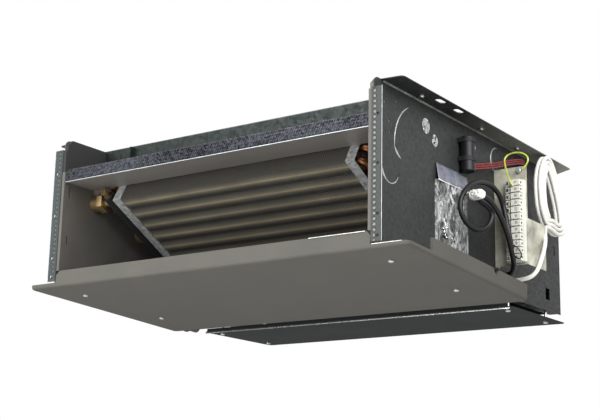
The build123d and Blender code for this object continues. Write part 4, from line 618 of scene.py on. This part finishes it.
def relief(name, columns, rows, front, back, slot, skip=None, **more):
    """A closed slab: a grid of front points pushed out by a height, over a plain back."""
    points = [front(u, v) for v in range(rows + 1) for u in range(columns + 1)]
    points += [back(u, v) for v in range(rows + 1) for u in range(columns + 1)]
    shift = (rows + 1) * (columns + 1)
    cells = [(u, v) for v in range(rows) for u in range(columns) if not (skip and skip(u, v))]
    kept = set(cells)
    faces = []
    for u, v in cells:
        a = v * (columns + 1) + u
        b, c, d = a + 1, a + columns + 2, a + columns + 1
        faces.append((a, b, c, d))
        faces.append((a + shift, d + shift, c + shift, b + shift))
        for near, one, two in (((u, v - 1), a, b), ((u + 1, v), b, c), ((u, v + 1), c, d),
                               ((u - 1, v), d, a)):
            if near not in kept:
                faces.append((two, one, one + shift, two + shift))
    return make_piece(name, points, faces, slot, **more)


def tube(name, line, radii, slot, sides=8, flat=1.0, **more):
    """A closed thin tube along points, with a radius at each; flat squeezes it in X."""
    points = []
    for index, spot in enumerate(line):
        ahead = Vector(line[min(index + 1, len(line) - 1)]) - Vector(line[max(index - 1, 0)])
        ahead.normalize()
        side = ahead.cross(Vector((1, 0, 0)))
        if side.length < 0.1:
            side = ahead.cross(Vector((0, 0, 1)))
        side.normalize()
        other = ahead.cross(side)
        for step in range(sides):
            turn = math.tau * step / sides
            off = (side * math.cos(turn) + other * math.sin(turn)) * radii[index]
            points.append((spot[0] + off.x * flat, spot[1] + off.y, spot[2] + off.z))
    faces = [tuple(range(sides)), tuple(range(len(points) - sides, len(points)))]
    for ring in range(len(line) - 1):
        for step in range(sides):
            a = ring * sides + step
            b = ring * sides + (step + 1) % sides
            faces.append((a, b, b + sides, a + sides))
    return make_piece(name, points, faces, slot, smooth=True, **more)


# The gaskets' outline and the flanges' holes, where they are open
GASKET_COLUMNS = 30
GASKET_ROWS = 380
GASKET_INNER = 261.0
GASKET_WIDTH = 13.5
GASKET_LOW = 16.5
GASKET_HIGH = 206.0
GASKET_DEPTH = 1.0
GASKET_HOLES = (22.8, 49.0, 110.6, 172.0)
GASKET_HOLE_X = 270.4
GASKET_HOLE_R = 2.2
DOT_HOLLOW = 0.9
SCORED_FROM = 268.6


def gasket_height(x, z):
    """How far the gasket's face stands out: one column of dots, then faint scores."""
    near = (z / DOT_PITCH) % 1.0 - 0.5
    away = math.hypot(x - DOT_X, near * DOT_PITCH)
    dot = max(0.0, 1.0 - (away / DOT_RADIUS) ** 2)
    hollow = 0.7 * max(0.0, 1.0 - (away / DOT_HOLLOW) ** 2)
    if x > SCORED_FROM:
        score = 0.12 * math.cos(z * 2.1)
    else:
        score = 0.10 * noise.noise((x * 1.9, 0.0, z * 1.9))
    return 0.35 + 0.6 * (dot - hollow) + score


def make_gasket(side):
    """The gasket of the right (1) or left (-1) front flange."""
    step_x = GASKET_WIDTH / GASKET_COLUMNS
    step_z = (GASKET_HIGH - GASKET_LOW) / GASKET_ROWS

    def spot(u, v):
        return GASKET_INNER + u * step_x, GASKET_LOW + v * step_z

    def front(u, v):
        x, z = spot(u, v)
        return side * x, -GASKET_DEPTH * min(max(gasket_height(x, z), 0.05), 1.0), z

    def back(u, v):
        x, z = spot(u, v)
        return side * x, 0.0, z

    def in_hole(u, v):
        x, z = spot(u + 0.5, v + 0.5)
        return any(math.hypot(x - GASKET_HOLE_X, z - hole) < GASKET_HOLE_R for hole in GASKET_HOLES)

    name = "gasket_right_dressed" if side > 0 else "gasket_left_dressed"
    relief(name, GASKET_COLUMNS, GASKET_ROWS, front, back, "foil_foam", in_hole,
           replaced=["flange_gaskets"], material=GASKET_DOT_GLINTS[side > 0])


for side in (-1, 1):
    make_gasket(side)

# Foam strip of small pyramids on the deflector's upstand
FOAM_HALF = 255.7
FOAM_LOW = 160.0
FOAM_HIGH = 177.6
FOAM_FACE = 3.0
FOAM_BACK = 6.0
FOAM_CELL = 3.9
FOAM_ROWS = 8
FOAM_COLUMNS = int(2 * FOAM_HALF / (FOAM_CELL / 2))


def foam_front(u, v):
    """A point of the foam's face: low pyramids of unequal height in staggered rows."""
    x = -FOAM_HALF + u * FOAM_CELL / 2
    z = FOAM_LOW + v * (FOAM_HIGH - FOAM_LOW) / FOAM_ROWS
    rise = 0.4
    if v % 2 and (u + v // 2) % 2:
        rise = 1.7 + 0.8 * noise.noise((x * 0.31, 0.0, z * 0.37))
    if 0 < u < FOAM_COLUMNS:
        x += 0.5 * noise.noise((x * 0.9, 4.0, z * 0.9))
    return x, FOAM_FACE + 2.6 - min(rise, 2.5), z


def foam_back(u, v):
    """A point of the foam's plain back."""
    return (-FOAM_HALF + u * FOAM_CELL / 2, FOAM_BACK,
            FOAM_LOW + v * (FOAM_HIGH - FOAM_LOW) / FOAM_ROWS)


relief("deflector_foam_dressed", FOAM_COLUMNS, FOAM_ROWS, foam_front, foam_back, "foil_foam",
       replaced=["deflector_foam"])

# Painted highlights along the front edges of the deflector, the tray, the bottom panel and the
# front flanges: thin bright bars
EDGE_BEVEL = 0.00012


def strip(name, corners, slot="plated_steel", material=None):
    """A thin bevelled bar between two opposite corners."""
    (x0, y0, z0), (x1, y1, z1) = corners
    points = [(x, y, z) for x in (x0, x1) for y in (y0, y1) for z in (z0, z1)]
    faces = [(0, 1, 3, 2), (4, 6, 7, 5), (0, 4, 5, 1), (2, 3, 7, 6), (0, 2, 6, 4), (1, 5, 7, 3)]
    piece = make_piece(name, points, faces, slot, material=material)
    bevel = piece.modifiers.new("edge", "BEVEL")
    bevel.width = EDGE_BEVEL
    bevel.segments = 2
    return piece


strip("deflector_edge_highlight", ((-255.6, 2.7, 158.9), (255.6, 3.0, 159.9)), "scroll_sheet")
strip("tray_rim_highlight", ((172.0, -0.25, 29.2), (253.0, 0.3, 30.0)), "tray_plastic", PAINTED_EDGE_HIGHLIGHT)
strip("tray_low_rim_highlight", ((262.0, -0.25, 12.8), (303.0, 0.3, 13.6)), "tray_plastic", PAINTED_EDGE_HIGHLIGHT)
strip("bottom_panel_edge_highlight", ((-270.0, 345.7, -14.1), (270.0, 346.1, -12.7)), "plated_steel")
for side, word in ((-1, "left"), (1, "right")):
    strip(f"flange_edge_highlight_{word}", ((side * 275.4, -0.2, 15.6), (side * 276.0, 0.6, 206.9)),
          "scroll_sheet")

# Folds between the side panels and their top flanges, in paler zinc as a painted highlight along
# each bend
FOLD_X = 262.0
FOLD_TOP = 221.9
FOLD_RADIUS = 1.8
FOLD_STEPS = 6
FOLD_ENDS = (24.0, 516.0)
for side, word in ((-1, "left"), (1, "right")):
    profile = []
    for step in range(FOLD_STEPS + 1):
        turn = step * math.pi / 2 / FOLD_STEPS
        profile.append((FOLD_X + FOLD_RADIUS * (1 - math.cos(turn)),
                        FOLD_TOP - FOLD_RADIUS * (1 - math.sin(turn))))
    profile.append((FOLD_X, FOLD_TOP))
    points = [(side * x, y, z) for y in FOLD_ENDS for x, z in profile]
    count = len(profile)
    faces = [tuple(range(count)), tuple(range(count, 2 * count))]
    faces += [(a, (a + 1) % count, (a + 1) % count + count, a + count) for a in range(count)]
    make_piece(f"top_fold_{word}", points, faces, "scroll_sheet", smooth=True, material=FOLD_ZINC_PAINTED_HIGHLIGHT)

# Thin bright beads along the knock-outs' slit edges on the right side panel, as painted highlights:
# centre's Y and Z, radius, first and last angle, thickness
KNOCKOUT_GLINT_X = 262.05
KNOCKOUT_GLINT_STEPS = 24
KNOCKOUT_ARCS = [
    (112.6, 149.6, 61.0, 116.6, 184.0, 1.2), (74.8, 158.2, 26.2, 209.2, 251.8, 1.9),
    (42.2, 116.9, 20.5, 171.6, 262.0, 1.9), (42.2, 116.9, 20.5, 262.0, 335.0, 0.9),
    (330.0, 193.0, 19.0, 92.0, 262.0, 1.4),
]
for number, (y, z, radius, start, end, thick) in enumerate(KNOCKOUT_ARCS):
    turns = [math.radians(start + (end - start) * step / KNOCKOUT_GLINT_STEPS)
             for step in range(KNOCKOUT_GLINT_STEPS + 1)]
    line = [(KNOCKOUT_GLINT_X, y + radius * math.cos(t), z + radius * math.sin(t)) for t in turns]
    radii = [thick * (0.35 + 0.65 * math.sin(math.pi * (step + 1) / (KNOCKOUT_GLINT_STEPS + 2)))
             for step in range(KNOCKOUT_GLINT_STEPS + 1)]
    tube(f"knockout_glint_{number + 1}", line, radii, "plated_steel", 6, 0.5, material=BRIGHT_ZINC)

# Crumpled foil that shows in the two round holes
FOIL_MIDDLE = 261.6
FOIL_X = 261.3
FOIL_RINGS = 6
FOIL_STEPS = 22


def make_hole_foil(name, y0, z0, radius):
    """A crumpled disc of foil inside a hole of the side panel."""
    points = [(FOIL_MIDDLE, y0, z0)]
    for ring in range(1, FOIL_RINGS + 1):
        reach = radius * ring / FOIL_RINGS
        for step in range(FOIL_STEPS):
            turn = math.tau * step / FOIL_STEPS
            y = y0 + reach * math.cos(turn)
            z = z0 + reach * math.sin(turn)
            crumple = noise.noise((y * 0.5, z * 0.5, 2.0)) * 0.9
            points.append((FOIL_X + (crumple if ring < FOIL_RINGS else 0.0), y, z))
    faces = [(0, 1 + step, 1 + (step + 1) % FOIL_STEPS) for step in range(FOIL_STEPS)]
    for ring in range(FOIL_RINGS - 1):
        for step in range(FOIL_STEPS):
            a = 1 + ring * FOIL_STEPS + step
            b = 1 + ring * FOIL_STEPS + (step + 1) % FOIL_STEPS
            faces.append((a, b, b + FOIL_STEPS, a + FOIL_STEPS))
    make_piece(name, points, faces, "scroll_sheet", material=HOLE_FOIL)


make_hole_foil("hole_foil_1", 130.9, 192.6, 10.3)
make_hole_foil("hole_foil_2", 153.7, 178.6, 8.3)

# Clear bag of small parts behind the black cable
BAG_FRONT_Y = 150.5
BAG_REAR_Y = 239.5
BAG_WIDTH = BAG_REAR_Y - BAG_FRONT_Y
BAG_LOW = 40.3
FILM_HIGH = 127.0
BAG_BACK = 262.5
BAG_COLUMNS = 58
BAG_ROWS = 58
BAND_LOW = 126.0
BAND_HEIGHT = 23.0
BAND_COLUMNS = 20
BAND_ROWS = 8
FILM_WALL = 0.5
LIP_STEPS = 40
LIP_Z = 125.8
BAG_FOLD_POINTS = 11


def bag_grid(u, v):
    """Where a point of the film lies along and above, before it is crumpled."""
    return (BAG_FRONT_Y + BAG_WIDTH * u / BAG_COLUMNS,
            BAG_LOW + (FILM_HIGH - BAG_LOW) * v / BAG_ROWS)


def bag_front(u, v):
    """A point of the bag's crumpled front film."""
    y, z = bag_grid(u, v)
    across = math.sin(math.pi * u / BAG_COLUMNS)
    along = math.sin(math.pi * min(1.0, 1.25 * v / BAG_ROWS + 0.02))
    fold = 1.0 - 2.0 * abs(noise.noise((y * 0.055, z * 0.022, 1.0)))
    crease = 1.0 - 2.0 * abs(noise.noise((y * 0.16, z * 0.07, 5.0)))
    fine = noise.noise((y * 0.35, z * 0.28, 9.0))
    rise = 0.7 + across * (2.6 + 2.2 * along + 2.8 * fold + 1.5 * crease + 0.6 * fine)
    return BAG_BACK + min(max(rise, 0.4), 10.4), y, z


def bag_rear(u, v):
    """A point of the bag's flat rear film."""
    return (BAG_BACK, *bag_grid(u, v))


relief("bag_film", BAG_COLUMNS, BAG_ROWS, bag_front, bag_rear, "clear_bag",
       replaced=["accessory_bag"])


def band_front(u, v):
    """A point of the bag's folded upper band, which leans out at its lower edge."""
    y = BAG_FRONT_Y + 3.0 + (BAG_WIDTH - 5.0) * u / BAND_COLUMNS
    z = BAND_LOW + BAND_HEIGHT * v / BAND_ROWS
    lean = 4.5 - 3.2 * v / BAND_ROWS + 0.7 * noise.noise((y * 0.06, z * 0.09, 3.0))
    return BAG_BACK + lean, y, z


def band_rear(u, v):
    """A point of the band's rear, a wall behind its front."""
    x, y, z = band_front(u, v)
    return x - FILM_WALL, y, z


relief("bag_band", BAND_COLUMNS, BAND_ROWS, band_front, band_rear, "clear_bag", smooth=True,
       material=BAG_BAND)
# A white tube along the band's lower edge, thickest at its front end: a painted highlight
lip = []
for step in range(LIP_STEPS):
    y = BAG_FRONT_Y + 2.0 + 2.1 * step
    lip.append((BAG_BACK + 5.2 + 0.5 * noise.noise((y * 0.1, 0.0, 7.0)), y,
                LIP_Z + 1.2 * noise.noise((y * 0.05, 2.0, 0.0))))
lip_radii = [0.6 + 0.5 * math.exp(-0.25 * step) for step in range(LIP_STEPS)]
tube("bag_lip_highlight", lip, lip_radii, "clear_bag", material=MATERIALS["tie_plastic"])
# A white tube along a crease of the film: a painted highlight
fold = [(272.4 + 0.4 * math.sin(1.3 * step), 206.0 + 3.2 * step, 116.5 + 1.25 * step)
        for step in range(BAG_FOLD_POINTS)]
tube("bag_fold_highlight", fold, [0.9] * BAG_FOLD_POINTS, "clear_bag", material=MATERIALS["tie_plastic"])
SCREW_X = 266.3
SCREW_LENGTH = 15.0
SCREW_SIDES = 10
BAG_SCREWS = 7


def small_screw(name, y, z, tilt, length, slot):
    """A small screw from the bag: a turned head, a shank and a tip, lying flat."""
    profile = [(0.0, 0.0), (2.6, 0.2), (3.1, 1.0), (2.9, 1.9), (1.3, 2.1), (1.3, length - 2.0),
               (0.2, length)]
    along = Vector((0.0, math.cos(tilt), math.sin(tilt)))
    side = Vector((1.0, 0.0, 0.0))
    third = along.cross(side)
    points = []
    for radius, far in profile:
        for step in range(SCREW_SIDES):
            turn = math.tau * step / SCREW_SIDES
            off = along * far + (side * math.cos(turn) + third * math.sin(turn)) * max(radius, 0.05)
            points.append((SCREW_X + off.x, y + off.y, z + off.z))
    faces = [tuple(range(SCREW_SIDES)), tuple(range(len(points) - SCREW_SIDES, len(points)))]
    for ring in range(len(profile) - 1):
        for step in range(SCREW_SIDES):
            a = ring * SCREW_SIDES + step
            b = ring * SCREW_SIDES + (step + 1) % SCREW_SIDES
            faces.append((a, b, b + SCREW_SIDES, a + SCREW_SIDES))
    make_piece(name, points, faces, slot, smooth=True)


for number in range(BAG_SCREWS):
    picker = random.Random(number)
    y = 165.0 + 9.0 * (number % 4) + picker.uniform(-2, 2)
    z = 50.0 + 14.0 * (number // 4) + picker.uniform(-3, 3)
    small_screw(f"bag_screw_{number + 1}", y, z, picker.uniform(0.3, 2.6), SCREW_LENGTH,
                "plated_steel" if number % 3 else "black_rubber")

# White tie wound round the black cable where its loop closes: each turn's Y, half width and
# half height
TIE_X = 298.0
TIE_Z = 111.5
TIE_STEPS = 24
TIE_SQUARENESS = 0.6
TIE_TURNS = ((191.0, 3.0, 1.8), (192.6, 6.6, 3.9), (195.4, 8.6, 4.7), (198.3, 9.4, 5.0),
             (201.2, 9.2, 4.8))


def squared(value):
    """A sine or cosine for an oval with flatter sides."""
    return math.copysign(abs(value) ** TIE_SQUARENESS, value)


for number, (y0, wide, high) in enumerate(TIE_TURNS):
    line = []
    radii = []
    for step in range(TIE_STEPS):
        turn = math.tau * step / TIE_STEPS
        x = TIE_X + wide * squared(math.cos(turn))
        z = TIE_Z + high * squared(math.sin(turn))
        crumple = noise.noise((x * 0.25, y0, z * 0.4))
        line.append((x, y0 + 1.3 * crumple, z + 0.8 * crumple))
        radii.append(1.9 + 0.7 * noise.noise((0.9 * step, y0, 0.0)))
    tube(f"tie_turn_{number + 1}", line + line[:1], radii + radii[:1], "tie_plastic",
         replaced=["cable_tie"] if number == 0 else [])

# Metal clamps in the terminal block's poles, and black bars at its side as painted shade in the
# wire entries
TERMINAL_LOW = 43.0
TERMINAL_PITCH = 9.5
TERMINAL_POLES = 12
CLAMP_RISE = 2.3
ENTRY_SHADE_RISE = 1.5
for pole in range(TERMINAL_POLES):
    z = TERMINAL_LOW + (pole + 0.5) * TERMINAL_PITCH
    strip(f"clamp_{pole + 1}", ((286.8, 307.2, z - CLAMP_RISE), (290.3, 308.6, z + CLAMP_RISE)))
    strip(f"entry_shade_{pole + 1}", ((307.2, 308.5, z - ENTRY_SHADE_RISE), (307.7, 311.5, z + ENTRY_SHADE_RISE)),
          "black_rubber")

# Floor, world and lamps
FLOOR_Z = -0.75
FLOOR_HALF = 6.0
AMBIENT = 0.42


def make_floor():
    """A pale floor below the unit."""
    mesh = bpy.data.meshes.new("floor")
    corners = ((-1, -1), (1, -1), (1, 1), (-1, 1))
    mesh.from_pydata([(x * FLOOR_HALF, y * FLOOR_HALF, FLOOR_Z) for x, y in corners], [],
                     [(0, 1, 2, 3)])
    floor = bpy.data.objects.new("floor", mesh)
    scene.collection.objects.link(floor)
    floor.data.materials.append(worn("floor_paint", (0.92, 0.92, 0.91), 0.8, 0.0, 0.015, 1.5))


def make_world():
    """White behind the object, a softer level of light on it."""
    world = bpy.data.worlds.new("studio")
    scene.world = world
    world.use_nodes = True
    tree = world.node_tree
    tree.nodes.clear()
    out = tree.nodes.new("ShaderNodeOutputWorld")
    soft = tree.nodes.new("ShaderNodeBackground")
    soft.inputs["Color"].default_value = (1.0, 1.0, 1.0, 1.0)
    soft.inputs["Strength"].default_value = AMBIENT
    white = tree.nodes.new("ShaderNodeBackground")
    white.inputs["Color"].default_value = (1.0, 1.0, 1.0, 1.0)
    white.inputs["Strength"].default_value = 1.0
    path = tree.nodes.new("ShaderNodeLightPath")
    direct = step_node(tree, "MAXIMUM", path.outputs["Is Camera Ray"],
                       path.outputs["Is Transmission Ray"])
    either = step_node(tree, "MAXIMUM", direct, path.outputs["Is Glossy Ray"])
    mix = tree.nodes.new("ShaderNodeMixShader")
    tree.links.new(either, mix.inputs["Fac"])
    tree.links.new(soft.outputs["Background"], mix.inputs[1])
    tree.links.new(white.outputs["Background"], mix.inputs[2])
    tree.links.new(mix.outputs["Shader"], out.inputs["Surface"])


def lamp(name, spot, target, size, power):
    """A soft square lamp that looks at a point, both in chassis millimetres."""
    data = bpy.data.lights.new(name, "AREA")
    data.size = size
    data.energy = power
    holder = bpy.data.objects.new(name, data)
    scene.collection.objects.link(holder)
    holder.location = place(*spot)
    aim = place(*target) - holder.location
    holder.rotation_euler = aim.to_track_quat("-Z", "Y").to_euler()


make_floor()
make_world()
lamp("key", (-600, -1500, 900), (0, 100, 100), 1.2, 32)
lamp("side", (980, -180, 500), (262, 220, 190), 0.8, 16)
lamp("front", (-250, -1400, -40), (0, 60, 90), 1.0, 26)

scene.view_settings.view_transform = "Standard"
